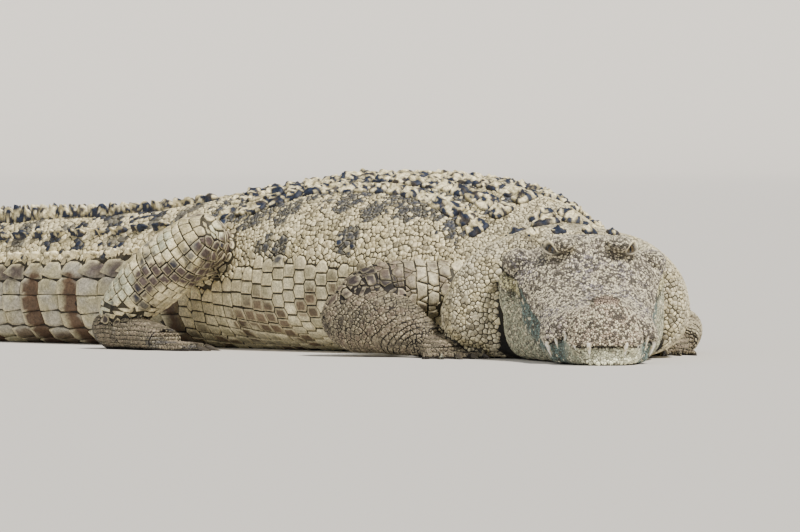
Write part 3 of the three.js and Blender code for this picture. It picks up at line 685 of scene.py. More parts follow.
def tail_markings(spot, along, girth, middling, fine):
    """Pale grey-green rings with brown saddles below, and a blue-black and cream ridge."""
    along = along + whorl_lean(along, girth)
    whorl = np.searchsorted(WHORL_EDGES, along)
    start = WHORL_EDGES[np.clip(whorl - 1, 0, len(WHORL_EDGES) - 1)]
    into = np.clip((along - start) / 60, 0, 1)
    half = half_girth_at(along) / ROOT_HALF_GIRTH
    kind = np.mod(whorl - 1, 5)
    low = fade(girth + 50 * (middling - 0.5), 186 * half, 204 * half)
    brown = np.isin(kind, (0, 2)) * low * fade(into + 0.3 * (middling - 0.5), 0.92, 0.76)
    blotch = np.isin(kind, (3, 4)) * hump(girth + 30 * (fine - 0.5), 190 * half, 24)
    under = np.isin(kind, (3, 1)) * fade(girth + 60 * (middling - 0.5), 300 * half, 330 * half)
    tail = painted(RING_GREY, (GREY_GREEN, fade(middling, 0.3, 0.75)),
                   (DARK_BROWN, np.maximum(brown, 0.8 * under)),
                   (PLUM, 0.9 * blotch * fade(into, 0.95, 0.8)))
    navy = fade(cloud(spot, 0.035, 16) + 0.15 * fine, 0.6, 0.68)
    ridge = painted(BUFF, (CREAM, fade(middling + 0.4 * fine, 0.5, 0.9)),
                    (OLIVE_CREAM, 0.7 * fade(cloud(spot, 0.05, 57), 0.5, 0.65)),
                    (BLUE_BLACK, 0.8 * navy * fade(girth, 160 * half, 120 * half)))
    return blend_paint(tail, ridge, fade(girth, 182 * half, 164 * half))


def nose_disc(along, side, up):
    """Shares of the way from the middle of the flat nose disc to its rim."""
    return np.where(along < 75, np.hypot(side / 27, (up - 128) / 11.5), 9)


def head_markings(spot, along, side, up, middling, fine):
    """Grey and lavender skull with cream and black specks; green jaw, with painted blue shade below
    the lip.
    """
    off_lip = up - mouth_height(along)
    crumb = cloud(spot, 0.005, 18)
    wide = np.abs(side)
    wrinkle = hump(cloud(spot, 0.028, 55), 0.5, 0.03) * fade(cloud(spot, 0.05, 56), 0.42, 0.6)
    brow = fade(up, 206, 226) * fade(along, 325, 340) * fade(along, 440, 400) * fade(wide, 24, 38)
    muzzle = painted(MUZZLE, (HEAD_CREAM, 0.6 * fade(crumb, 0.5, 0.8)),
                     (HEAD_DARK, 0.4 * fade(fine, 0.68, 0.9)))
    disc = nose_disc(along, side, up)
    head = painted(HEAD_GREY, (LAVENDER, fade(cloud(spot, 0.05, 20), 0.45, 0.7)),
                   (HEAD_CREAM, 0.6 * fade(crumb, 0.5, 0.8)),
                   (HEAD_DARK, 0.55 * fade(fine + 0.3 * middling, 0.78, 0.98)),
                   (HEAD_DARK, 0.75 * wrinkle), (HEAD_CREAM, 0.4 * brow * fade(wide, 96, 84)),
                   (muzzle, 0.7 * fade(along + 60 * (middling - 0.5), 190, 40)),
                   (NOSE_PINK, 0.85 * fade(disc, 1.05, 0.9)),
                   # Painted shade on the top of the nose disc and in the groove round its top, and
                   # a painted highlight along its lower edge.
                   (PLUM, 0.3 * fade(disc, 1.0, 0.85) * fade(up, 127, 134)),
                   (CRACK_SHADE, 0.85 * hump(disc, 1.06, 0.13) * fade(up, 124, 132)),
                   (HEAD_CREAM, 0.9 * hump(up, 119.5, 3.6) * (along < 44) * fade(wide, 19, 12)))
    # The chin is pale skin, painted paler still as a painted reflection of light from below.
    chin = fade(along, 110, 60) * fade(side + 8 * (middling - 0.5), -66, -26)
    depth = 22 + 44 * fade(along, 402, 365) - 12 * fade(along, 250, 150)
    # Painted shade in blue on the lower jaw, under the overhang of the upper lip.
    lip_shade = fade(off_lip, -depth - 12, -depth + 12) * fade(along, 60, 110) * fade(along, 440, 400)
    low_edge = up - 129 - 0.36 * (along - 398)
    front_edge = along - 400 - 0.72 * (up - 140)
    patch = fade(low_edge, -3, 3) * fade(front_edge, -3, 3) * fade(along, 500, 490)
    # The rims of the patch are painted almost black: painted shade in the grooves carved round it.
    edge = hump(low_edge, -2, 4.5) * (front_edge > -4) + hump(front_edge, -2, 4.5) * (low_edge > -4)
    jaw = painted(JAW_GREEN, (JOWL, 0.5 * fade(crumb, 0.4, 0.8)),
                  (HEAD_DARK, 0.3 * fade(fine, 0.6, 0.9)), (CHIN_GREEN, 0.95 * chin),
                  (LIP_SHADE_BLUE, 0.9 * lip_shade * (1 - chin)), (YELLOW_GREEN, 0.97 * patch),
                  (TEAL_BLACK, 0.92 * edge))
    # A painted shadow runs along the crease of the mouth.
    mouth_crease_shadow = hump(off_lip, -1, 2.8) * (0.6 + 0.4 * fade(along, 160, 100))
    head = painted(jaw, (head, fade(off_lip, -4, 3)), (CRACK_SHADE, 0.9 * mouth_crease_shadow))
    for hand in (1, -1):
        opening, away, _ = eye_opening(spot, hand)
        ring = 0.6 * hump(opening, 1.9, 0.3) * (away < 0.05) * fade(cloud(spot, 0.01, 23), 0.3, 0.6)
        # Painted shade in a crease that rises from the inner side of each eye.
        crease_shade = hump(up - 221 - 0.79 * (56 - hand * side), 0, 2.8) * (along < 372)
        inner = (hand * side > 28) * (hand * side < 60)
        head = painted(head, (HEAD_CREAM, ring), (CRACK_SHADE, 0.7 * crease_shade * inner))
    return head


def off_whole(number):
    """How far each running number is from the nearest whole one, which is a fold."""
    return 0.5 - np.abs(np.mod(number, 1) - 0.5)


def arm_folds(travel, up, drift):
    """Running number of the forearm's folds, nested arcs round the wrist, and their pitch."""
    reach = np.hypot(0.75 * (travel - ARC_TRAVEL), up - ARC_UP) + 16 * (drift - 0.5)
    beyond = reach - ARCS_FINE * ARC_STEP
    wide = 1.5 * ARC_STEP
    return np.where(beyond < 0, reach / ARC_STEP, ARCS_FINE + beyond / wide), \
        np.where(beyond < 0, ARC_STEP, wide)


def band_place(place):
    """Running number of the band that limb places lie in; the folds are the whole numbers."""
    stage, limb = STAGE_OF[place["which"]], LIMB_OF[place["which"]]
    travel, up, drift = place["travel"], place["up"], cloud(place["points"], 0.05, 52)
    step = np.where(limb > 1, np.where(stage == 0, THIGH_STEP, SHANK_STEP), SHOULDER_STEP)
    band = travel / step + 0.25 * (drift - 0.5)
    below_heel = up - 0.35 * (travel - 212)
    heel = (limb > 1) & (stage == 1) & (travel > 205) & (below_heel < 92)
    band = np.where(heel, 40 + below_heel / 13, band)
    band = np.where((limb < 2) & (stage == 1), arm_folds(travel, up, drift)[0], band)
    return np.where(stage == 2, up / FOOT_STEP + drift, band)


def limb_markings(spot, place, middling, fine):
    """Cream thighs with plum patches, pale shoulders, grey forearms and darker feet."""
    up, travel = place["up"], place["travel"]
    stage, limb = STAGE_OF[place["which"]], LIMB_OF[place["which"]]
    hind, drift = limb > 1, cloud(spot, 0.05, 52)
    thigh = painted(THIGH_CREAM, (OLIVE_CREAM, fade(middling + 0.3 * fine, 0.5, 0.85)),
                    (CREAM, fade(cloud(spot, 0.03, 53), 0.6, 0.75)),
                    (THIGH_GREEN, fade(cloud(spot, 0.09, 24), 0.55, 0.7)),
                    (PLUM, 0.95 * fade(cloud(spot, 0.06, 17) + 0.1 * middling, 0.56, 0.61)),
                    (BLUE_BLACK, 0.8 * fade(cloud(spot, 0.022, 25), 0.7, 0.76)))
    shoulder = blend_paint(SHOULDER, ARM_GREY, 0.8 * fade(middling + 0.3 * fine, 0.6, 0.9))
    pale = np.where(limb == 1, 0.85, (stage == 0) * fade(travel, 190, 110))
    band, pitch = arm_folds(travel, up, drift)
    off_fold = off_whole(band) * pitch
    arm = painted(ARM_GREY, (ARM_DARK, 0.85 * fade(cloud(spot, 0.03, 26), 0.45, 0.65)),
                  (ARM_PALE, 0.5 * fade(fine, 0.6, 0.8)), (shoulder, pale),
                  # Painted shade in each fold of the forearm, and a painted highlight on the skin
                  # beside it.
                  (CRACK_SHADE, 0.8 * (stage == 1) * hump(off_fold, 0, 1.8)),
                  (ARM_PALE, 0.4 * (stage == 1) * hump(off_fold, 3.2, 1.4)))
    navy = 0.8 * hind * fade(cloud(spot, 0.03, 27), 0.5, 0.6) * (up < 46)
    off_crease = off_whole((up + 7 * drift) / FOOT_STEP) * FOOT_STEP
    foot = painted(FOOT_GREY, (ARM_DARK, 0.6 * fade(middling, 0.45, 0.7)),
                   (ARM_PALE, 0.4 * fade(fine, 0.6, 0.8)), (BLUE_BLACK, navy),
                   # Painted shade in the creases across the foot.
                   (CRACK_SHADE, 0.95 * hump(off_crease, 0, 1.7)))
    return np.where((stage == 2)[:, None], foot, np.where(hind[:, None], thigh, arm))


def jaw_groove(along, side, up):
    """How far each place lies in the groove between the lower jaw and the neck, 0 to 1."""
    widest = np.where(side < 0, 172, 166)
    return (along > 518) * (along < 550) * fade(np.abs(side) - widest, 3, -3) * fade(up, 204, 184)


def markings(place):
    """Colours of the animal at the places read from its hide."""
    spot, along, up = place["points"], place["along"], place["up"]
    girth, side = np.abs(place["girth"]), place["side"]
    middling = cloud(spot, 0.024, 12)
    fine = cloud(spot, 0.008, 13)
    low = blend_paint(PALE_GREEN, GREY_GREEN, fade(middling, 0.3, 0.8))
    patches = fade(cloud(spot * np.array([1, 1, 0.4]), 0.04, 14), 0.52, 0.59)
    patches = patches * fade(girth, 370, 430) * fade(along, 1150, 1250)
    back = blend_paint(CREAM, OLIVE_CREAM, fade(middling, 0.35, 0.7))
    trunk = painted(BUFF, (CREAM, fade(fine + 0.4 * middling, 0.5, 0.9)),
                    (OLIVE_CREAM, 0.8 * fade(cloud(spot, 0.04, 28), 0.55, 0.75)),
                    (low, fade(girth, 330, 420)), (DARK_BROWN, 0.9 * patches),
                    (back, fade(girth, 235, 165)),
                    (BLUE_BLACK, 0.9 * blotch_share(spot, along, girth)))
    nape = fade(girth, 150, 100) * fade(cloud(spot, 0.03, 29), 0.5, 0.65)
    body = painted(JOWL, (OLIVE_CREAM, 0.7 * fade(middling, 0.45, 0.75)), (BARK, 0.5 * nape),
                   (trunk, fade(along, 700, 900)),
                   (tail_markings(spot, along, girth, middling, fine), fade(along, 1800, 1860)),
                   # The groove between the lower jaw and the neck is painted almost black: painted
                   # shade.
                   (TEAL_BLACK, 0.95 * jaw_groove(along, side, up)))
    head = head_markings(spot, along, side, up, middling, fine)
    # The crease behind the head is painted almost black: painted shade.
    head = blend_paint(head, TEAL_BLACK, 0.95 * hump(along, 526, 6) * fade(up, 206, 180))
    body = np.where((along < 522)[:, None], head, body)
    limb = limb_markings(spot, place, middling, fine)
    return np.where((place["which"] >= 0)[:, None], limb, body)


def smooth(mesh):
    mesh.polygons.foreach_set("use_smooth", [True] * len(mesh.polygons))
    return mesh


def colour_points(mesh, tones):
    layer = mesh.color_attributes.new("tone", "FLOAT_COLOR", "POINT")
    solid = np.hstack([tones, np.ones((len(tones), 1))]).astype(np.float32)
    layer.data.foreach_set("color", solid.ravel())


def leather(name, roughness, grain, relief, speckle):
    """Reptile leather: the painted tone, broken up by fine speckle and a pebbled relief."""
    material = bpy.data.materials.new(name)
    material.use_nodes = True
    nodes, links = material.node_tree.nodes, material.node_tree.links
    shader = nodes["Principled BSDF"]
    shader.inputs["Roughness"].default_value = roughness
    shader.inputs["Specular IOR Level"].default_value = 0.35
    where = nodes.new("ShaderNodeTexCoord")
    tone = nodes.new("ShaderNodeAttribute")
    tone.attribute_name = "tone"
    shade = tone.outputs["Color"]
    for scale, contrast in ((grain, speckle), (grain * 0.42, speckle)):
        flecks = nodes.new("ShaderNodeTexNoise")
        flecks.inputs["Scale"].default_value = scale
        flecks.inputs["Detail"].default_value = 3
        links.new(where.outputs["Object"], flecks.inputs["Vector"])
        spread = nodes.new("ShaderNodeMapRange")
        spread.inputs["From Min"].default_value = 0.34
        spread.inputs["From Max"].default_value = 0.62
        spread.inputs["To Min"].default_value = 1 - contrast
        spread.inputs["To Max"].default_value = 1 + contrast * 0.7
        links.new(flecks.outputs["Fac"], spread.inputs["Value"])
        dimmed = nodes.new("ShaderNodeVectorMath")
        dimmed.operation = "SCALE"
        links.new(shade, dimmed.inputs[0])
        links.new(spread.outputs["Result"], dimmed.inputs["Scale"])
        shade = dimmed.outputs["Vector"]
    links.new(shade, shader.inputs["Base Color"])
    bump = nodes.new("ShaderNodeBump")
    bump.inputs["Strength"].default_value = relief
    bump.inputs["Distance"].default_value = 0.002
    links.new(flecks.outputs["Fac"], bump.inputs["Height"])
    links.new(bump.outputs["Normal"], shader.inputs["Normal"])
    return material


hide_points = vectors_of(hide.data.vertices, "co")
hide_place = read_places(hide_points)
# Between the scales the hide is painted nearly black, painted shade in the cracks, with a breath of
# the marking over it.
colour_points(smooth(hide.data), blend_paint(markings(hide_place), CRACK_SHADE,
                                             np.full(len(hide_points), 0.93)))
hide.data.materials.append(leather("hide_leather", 0.72, 260, 0.5, 0.25))
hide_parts("head", "lower_jaw", "neck", "torso", "tail_base", "tail_middle", "tail_tip",
            *(f"front_{hand}_{name}" for hand in ("right", "left")
              for name in ("upper_arm", "forearm", "hand")),
            *(f"hind_{hand}_{name}" for hand in ("right", "left")
              for name in ("thigh", "shank", "foot")))
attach(hide, "root")

# ------------ the eyes
# Two glassy balls with a golden olive iris and an upright slit pupil, each set in its
# socket and turned a little forward of the opening between the lids.

IRIS, IRIS_RIM, PUPIL = paint(96, 80, 48), paint(30, 25, 18), paint(8, 7, 7)
wet = bpy.data.materials.new("wet_eye")
wet.use_nodes = True
wet_shader = wet.node_tree.nodes["Principled BSDF"]
wet_shader.inputs["Roughness"].default_value = 0.08
wet_shader.inputs["Coat Weight"].default_value = 0.6
wet_shader.inputs["Coat Roughness"].default_value = 0.02
eye_tone = wet.node_tree.nodes.new("ShaderNodeAttribute")
eye_tone.attribute_name = "tone"
wet.node_tree.links.new(eye_tone.outputs["Color"], wet_shader.inputs["Base Color"])
eye_centres = {}
for hand, name in ((1, "left"), (-1, "right")):
    ahead, left, over = look(hand, *EYE_GAZE)
    eye_centres[hand] = stand(EYE_ALONG, hand * EYE_SIDE, EYE_UP)
    tilt = np.linspace(0.015, math.pi - 0.015, 80)[:, None]
    turn = np.linspace(0, 2 * math.pi, 96, endpoint=False)[None, :]
    across, height = np.sin(tilt) * np.cos(turn), np.sin(tilt) * np.sin(turn)
    ball_points = ahead * np.cos(tilt + 0 * turn)[..., None] + left * across[..., None] \
        + over * height[..., None]
    ball_corners, ball_faces = tube(eye_centres[hand] + ball_points * EYE_RADIUS * MM)
    eye = mesh_object("eyeball_" + name, ball_corners, [face[::-1] for face in ball_faces])
    local = (ball_corners - eye_centres[hand]) / (EYE_RADIUS * MM)
    x, y, z = local @ left, local @ over, local @ ahead
    from_axis = np.degrees(np.arccos(np.clip(z, -1, 1)))
    streaks = cloud(np.stack([np.arctan2(y, x) * 5, from_axis / 30, 0 * x], -1), 0.35, 21)
    slit = np.abs(x) / np.maximum(0.02, 0.12 * (1 - (np.abs(y) / 0.52) ** 2))
    colour_points(smooth(eye.data), painted(
        IRIS, (IRIS_RIM, 0.7 * streaks), (IRIS_RIM, fade(from_axis, 26, 38)),
        (PUPIL, fade(from_axis, 38, 46)),
        (PUPIL, fade(slit, 1.2, 0.8) * (z > 0) * (np.abs(y) < 0.5))))
    eye.data.materials.append(wet)
    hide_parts("eye_" + name)
    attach(eye, "root")

# ------------ the eyelids
# Thick lids round each eye that slant down to the inner corner: a pale upper lid that stands out
# as a ledge, with a painted highlight on it, and a narrow lower lid, both ringed with lines of
# painted shade. Each is one closed skin rolled at the rim.

LID_SHARES = np.array([0.93, 0.99, 1.05, 1.18, 1.36, 1.54, 1.7, 1.9, 1.7, 1.3, 1.1, 0.95])
LID_RADII = np.array([19.2, 20.8, 23.0, 25.0, 25.2, 24.0, 23.6, 21.0, 16.5, 16.0, 16.5, 17.4])
lid_leather = leather("lid_leather", 0.55, 420, 0.5, 0.3)
for hand, name in ((1, "left"), (-1, "right")):
    ahead, left, over = look(hand, *LID_GAZE)
    turn = np.linspace(0, 2 * math.pi, 72, endpoint=False)[None, :]
    wide, tall = lid_reach(turn)
    upper = fade(np.sin(turn), -0.1, 0.4)
    x = wide * math.cos(LID_SLANT) - tall * math.sin(LID_SLANT)
    y = tall * math.cos(LID_SLANT) + wide * math.sin(LID_SLANT)
    span = np.hypot(x, y) * LID_SHARES[:, None] / LID_ARC
    round_eye = np.arctan2(y, x)
    ledge = 5.0 * upper * (0.6 + 0.4 * np.cos(turn)) + 1.6 * (1 - upper)
    reach = LID_RADII[:, None] + ledge * hump(LID_SHARES[:, None], 1.22, 0.2) \
        * (np.arange(12) < 8)[:, None]
    rings = ahead * np.cos(span)[..., None] \
        + hand * left * (np.sin(span) * np.cos(round_eye))[..., None] \
        + over * (np.sin(span) * np.sin(round_eye))[..., None]
    rings = eye_centres[hand] + rings * reach[..., None] * MM
    count, around = rings.shape[:2]
    r, k = np.meshgrid(np.arange(count), np.arange(around), indexing="ij")
    nr, nk = (r + 1) % count, (k + 1) % around
    lid_faces = np.stack([r * around + k, nr * around + k, nr * around + nk, r * around + nk], -1)
    lid_faces = lid_faces.reshape(-1, 4)[:, ::hand]
    lid = mesh_object("eyelids_" + name, rings.reshape(-1, 3), lid_faces.tolist())
    lid_points = rings.reshape(-1, 3)
    share = np.repeat(LID_SHARES, around)
    pale = np.tile((0.55 + 0.45 * upper)[0], count)
    above = np.tile(upper[0], count)
    # The upper ledge is pale lid with a painted highlight on it, wider and brighter than on the
    # lower lid.
    pale_ledge_and_highlight = hump(share, 1.12 + 0.08 * above, 0.07 + 0.16 * above) * pale
    inner = np.tile(fade(-np.cos(turn[0]), 0.5, 0.9) * fade(np.sin(turn[0]), 0.6, 0.1), count)
    # Painted shade in dark lines by the eyeball, round the outside of the lids and at the inner
    # corner.
    lid_shade_lines = 0.95 * hump(share, 0.96, 0.06) + 0.8 * inner \
        + 0.95 * hump(share, 1.34 + 0.3 * above, 0.1)
    colour_points(smooth(lid.data), painted(
        HEAD_GREY, (HEAD_DARK, 0.35 + 0.3 * cloud(lid_points, 0.004, 58)),
        (CREAM * 1.25, pale_ledge_and_highlight), (CRACK_SHADE, lid_shade_lines),
        (HEAD_CREAM, 0.2 * cloud(lid_points, 0.004, 22))))
    lid.data.materials.append(lid_leather)
    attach(lid, "root")

# ------------ teeth
# Ivory cones, slightly curved, that hang outside the lower lip; the fourth tooth of the
# lower jaw stands up in the notch behind the nose. One cone is bent and set on points.


def horn_tree(name, sides):
    """A node tree that sets a bent cone on every point, by its stance and size."""
    tree = bpy.data.node_groups.new(name, "GeometryNodeTree")
    for key, way, kind in (("Points", "INPUT", "Geometry"), ("Bend", "INPUT", "Float"),
                           ("Swell", "INPUT", "Float"), ("Finish", "INPUT", "Material"),
                           ("Horns", "OUTPUT", "Geometry")):
        tree.interface.new_socket(key, in_out=way, socket_type="NodeSocket" + kind)
    add, link = tree.nodes.new, tree.links.new
    given, result = add("NodeGroupInput"), add("NodeGroupOutput")
    cone = add("GeometryNodeMeshCone")
    for key, number in (("Vertices", sides), ("Side Segments", 7), ("Fill Segments", 1),
                        ("Radius Top", 0.05), ("Radius Bottom", 1.0), ("Depth", 1.0)):
        cone.inputs[key].default_value = number
    where, parted, joined = add("GeometryNodeInputPosition"), add("ShaderNodeSeparateXYZ"), \
        add("ShaderNodeCombineXYZ")
    link(where.outputs[0], parted.inputs[0])

    def sum_of(operation, first, second):
        node = add("ShaderNodeMath")
        node.operation = operation
        for socket, value in zip(node.inputs, (first, second)):
            if isinstance(value, (int, float)):
                socket.default_value = value
            else:
                link(value, socket)
        return node.outputs[0]

    height = parted.outputs["Z"]
    belly = sum_of("MULTIPLY", height, sum_of("SUBTRACT", 1.0, height))
    fuller = sum_of("ADD", 1.0, sum_of("MULTIPLY", belly, given.outputs["Swell"]))
    lean = sum_of("MULTIPLY", sum_of("MULTIPLY", height, height), given.outputs["Bend"])
    link(sum_of("ADD", sum_of("MULTIPLY", parted.outputs["X"], fuller), lean), joined.inputs["X"])
    link(sum_of("MULTIPLY", parted.outputs["Y"], fuller), joined.inputs["Y"])
    link(height, joined.inputs["Z"])
    shaped, spread, real, finish = add("GeometryNodeSetPosition"), \
        add("GeometryNodeInstanceOnPoints"), add("GeometryNodeRealizeInstances"), \
        add("GeometryNodeSetMaterial")
    link(cone.outputs["Mesh"], shaped.inputs["Geometry"])
    link(joined.outputs[0], shaped.inputs["Position"])
    smoothed = add("GeometryNodeSetShadeSmooth")
    link(shaped.outputs[0], smoothed.inputs["Geometry"])
    link(given.outputs["Points"], spread.inputs["Points"])
    link(smoothed.outputs[0], spread.inputs["Instance"])
    for key, socket in (("stance", "Rotation"), ("size", "Scale")):
        read = add("GeometryNodeInputNamedAttribute")
        read.data_type = "FLOAT_VECTOR"
        read.inputs["Name"].default_value = key
        link(read.outputs["Attribute"], spread.inputs[socket])
    link(spread.outputs[0], real.inputs[0])
    link(real.outputs[0], finish.inputs["Geometry"])
    link(given.outputs["Finish"], finish.inputs["Material"])
    link(finish.outputs[0], result.inputs[0])
    return tree


def grow_horns(name, roots, tree, bend, swell, material):
    """Roots are (place, turn about X, Y and Z, half breadth, length), in metres and radians."""
    thing = mesh_object(name, np.array([root[0] for root in roots]), [])
    for key, values in (("stance", [root[1] for root in roots]),
                        ("size", [(root[2], root[2], root[3]) for root in roots])):
        layer = thing.data.attributes.new(key, "FLOAT_VECTOR", "POINT")
        layer.data.foreach_set("vector", np.array(values, np.float32).ravel())
    growth = thing.modifiers.new("grow", "NODES")
    growth.node_group = tree
    inputs = {item.name: item.identifier for item in tree.interface.items_tree
              if item.in_out == "INPUT"}
    growth[inputs["Bend"]] = bend
    growth[inputs["Swell"]] = swell
    growth[inputs["Finish"]] = material
    settle(thing)
    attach(thing, "root")
    return thing


def mottled(name, roughness, grain, low, high):
    """A hard glossy matter clouded between two stops of (place on the ramp, paint)."""
    material = bpy.data.materials.new(name)
    material.use_nodes = True
    nodes, links = material.node_tree.nodes, material.node_tree.links
    shader = nodes["Principled BSDF"]
    shader.inputs["Roughness"].default_value = roughness
    where, noise = nodes.new("ShaderNodeTexCoord"), nodes.new("ShaderNodeTexNoise")
    noise.inputs["Scale"].default_value = grain
    ramp = nodes.new("ShaderNodeValToRGB")
    for element, (position, tint) in zip(ramp.color_ramp.elements, (low, high)):
        element.position, element.color = position, (*tint, 1)
    links.new(where.outputs["Object"], noise.inputs["Vector"])
    links.new(noise.outputs["Fac"], ramp.inputs["Fac"])
    links.new(ramp.outputs["Color"], shader.inputs["Base Color"])
    return material


ivory = mottled("ivory", 0.3, 160, (0.35, paint(206, 190, 150)), (0.55, paint(240, 236, 222)))
# Upper teeth: distance behind the snout tip, length shown and half breadth.
UPPER_TEETH = ((33, 8, 4), (58, 11, 4.5), (129, 16, 4), (151, 28, 7), (178, 14, 5),
               (205, 12, 5), (232, 12, 4.5), (258, 11, 4.5), (284, 10, 4))
TOOTH_ROOT = 7
tooth_roots = []
for hand in (1, -1):
    rows = [(11, 37, mouth_height(11), 20, 5.5)]
    for at, length, radius in UPPER_TEETH:
        clear = max(snout_half_width(at) - radius - 1, jaw_half_width(at) + radius + 1.2)
        rows.append((at, clear, mouth_height(at), length, radius))
    for at, clear, gum, length, radius in rows:
        splay = HEAD_HEADING + hand * (math.pi / 2 if at > 20 else 0.3)
        root = stand(at, hand * clear, gum + TOOTH_ROOT)
        tooth_roots.append((root, (math.pi, 0, splay), radius * MM,
                            (length + TOOTH_ROOT) * MM))
    root = stand(97, hand * 74, mouth_height(97) - 2 - TOOTH_ROOT)
    tooth_roots.append((root, (0, 0, HEAD_HEADING - hand * math.pi / 2), 5.6 * MM,
                        (13 + TOOTH_ROOT) * MM))
teeth = grow_horns("teeth", tooth_roots, horn_tree("tooth_set", 14), -1.1, 0.7, ivory)

# ------------ claws
# Dark horn on the three inner toes of each foot, curved down to the ground. Each is a bent
# cone that grows from a point in the end of its toe.

horn = mottled("claw_horn", 0.38, 240, (0, paint(38, 34, 30)), (1, paint(96, 88, 74)))
claw_points = [(root + np.array([0, 0, thick * 0.62 * MM]), (0, math.radians(96), direction),
                thick * 0.52 * MM, reach) for root, direction, thick, reach in claw_roots]
claws = grow_horns("claws", claw_points, horn_tree("claw_set", 10), 0.9, 0.4, horn)
claw_corners = vectors_of(claws.data.vertices, "co")
claw_corners[:, 2] = np.maximum(claw_corners[:, 2], 0.0005)
move_corners(claws.data, claw_corners)

# ------------ back and nape plates
# Bony plates under thick horn, keeled and pitted: six in each cross row of the back, a
# square of four with two beside them on the nape and four small ones behind the head.

SCUTE_LENGTH, SCUTE_WIDTH = 50, 52
SCUTE_RIM, KEEL_FRONT, KEEL_REAR = 3, 7, 15


def back_point(along, side):
    share = np.clip(np.abs(side) / body_half_width(along), 0, 1)
    fall = (1 - share ** upper_power(along)) ** (1 / upper_power(along))
    waist = waist_height(along)
    return stand(along, side + body_shift(along), waist + (back_height(along) - waist) * fall)


def back_frame(along, side):
    """A point of the back with its forward, left and outward directions."""
    at = back_point(along, side)
    forward = unit(back_point(along - 8, side) - at)
    left = unit(back_point(along, side + 4) - back_point(along, side - 4))
    outward = unit(np.cross(forward, left))
    return at, forward, np.cross(outward, forward), outward


def dice(seed):
    """Seeded numbers from 0 to 1, the same each time."""
    state = seed
    while True:
        state = (state * 1664525 + 1013904223) % 4294967296
        yield state / 4294967296


def weathered_and_highlit(browning, flaking_and_highlight, chalky):
    """Blue-black horn, browned in places, that flakes to olive and to chalky cream; the flaking
    share also carries a painted highlight on high parts.
    """
    return painted(BLUE_BLACK, (BARK, browning), (OLIVE_CREAM, fade(flaking_and_highlight, 0.7, 0.76)),
                   (CREAM * 1.2, fade(flaking_and_highlight, *chalky)))


# Places of the plates: distance along, to the left and size.
plate_rows = []
chance = dice(7)
for row_along in range(862, TRUNK_END - 30, 55):
    for index, column in enumerate((30, 88, 143)):
        narrow = min(1, float(body_half_width(row_along)) / 240)
        for hand in (1, -1):
            size = (0.92 + 0.14 * next(chance)) * narrow * (0.9 if index == 2 else 1)
            plate_rows.append((row_along + 4 * next(chance), hand * column * narrow, size))
for hand in (1, -1):
    plate_rows += [(575, hand * 32, 0.62), (583, hand * 84, 0.55), (690, hand * 33, 1.12),
                   (748, hand * 31, 1.08), (716, hand * 92, 0.9)]

GRID = 19
across_grid, ahead_grid = np.meshgrid(np.linspace(-1, 1, GRID), np.linspace(-1, 1, GRID))
plate_across = across_grid * np.sqrt(1 - 0.32 * ahead_grid ** 2)
plate_ahead = ahead_grid * np.sqrt(1 - 0.32 * across_grid ** 2)
edge = np.maximum(np.abs(ahead_grid), np.abs(across_grid))
rim_walk = [(0, k) for k in range(GRID - 1)] + [(k, GRID - 1) for k in range(GRID - 1)]
rim_walk += [(GRID - 1 - i, GRID - 1 - j) for i, j in rim_walk]
rim_index = [i * GRID + j for i, j in rim_walk]
plate_corners, plate_faces, plate_tones = [], [], []
for number, (row_along, row_side, size) in enumerate(plate_rows):
    at, forward, left, outward = back_frame(row_along, row_side)
    half_length, half_width = size * SCUTE_LENGTH * 0.53, size * SCUTE_WIDTH * 0.52
    to_rear = (1 - ahead_grid) / 2
    keel = (KEEL_FRONT + (KEEL_REAR - KEEL_FRONT) * to_rear) * size
    keel = keel * fade(np.abs(ahead_grid), 1.02, 0.66) \
        * np.exp(-(np.abs(across_grid) / 0.34) ** 1.25)
    flat = at + forward * (plate_ahead * half_length * MM)[..., None] \
        + left * (plate_across * half_width * MM)[..., None]
    grain_at = np.stack([plate_ahead * half_length * 0.45, plate_across * half_width,
                         0 * plate_ahead + 41 * number], -1).reshape(-1, 3) * MM
    pits = cloud(flat.reshape(-1, 3), 0.011, 31 + number % 5).reshape(GRID, GRID) - 0.5
    crag = np.abs(cloud(grain_at, 0.006, 37).reshape(GRID, GRID) - 0.5)
    height = SCUTE_RIM * size + 0.75 * keel + (6 * pits + 1.8 - 8 * crag) * fade(edge, 1, 0.75)
    height = height - (SCUTE_RIM * size + 3.5) * fade(edge, 0.84, 1)
    corners = (flat + outward * (height * MM)[..., None]).reshape(-1, 3)
    skirt = corners[rim_index] - outward * 9 * MM
    base = sum(len(c) for c in plate_corners)
    grid = np.arange(GRID * GRID).reshape(GRID, GRID) + base
    top = np.stack([grid[:-1, :-1], grid[:-1, 1:], grid[1:, 1:], grid[1:, :-1]], -1)
    ring = [k + base for k in rim_index]
    low = [base + GRID * GRID + k for k in range(len(ring))]
    walls = [[ring[(k + 1) % len(ring)], low[(k + 1) % len(ring)], low[k], ring[k]]
             for k in range(len(ring))]
    plate_corners.append(np.vstack([corners, skirt]))
    plate_faces += [face[::-1] for face in top.reshape(-1, 4).tolist()]
    plate_faces += walls + [low]
    # The high parts of each plate are painted paler: wear, and a painted highlight on the tops.
    lit = fade(height / size, 1.5, 9).ravel()
    flaking_and_highlight = cloud(grain_at, 0.0052, 33) + 0.4 * cloud(corners, 0.018, 34) + 0.12 * lit
    plate_colour = weathered_and_highlit(0.8 * fade(cloud(grain_at, 0.008, 35), 0.5, 0.75), flaking_and_highlight, (0.84, 0.94))
    # Painted shade on the rim where each plate turns down into the skin, and on its skirt.
    plate_colour = blend_paint(plate_colour, CRACK_SHADE, 0.85 * fade(edge, 0.86, 1).ravel())
    plate_tones.append(np.vstack([plate_colour, np.tile(CRACK_SHADE, (len(ring), 1))]))
plates = mesh_object("back_plates", np.vstack(plate_corners), plate_faces)
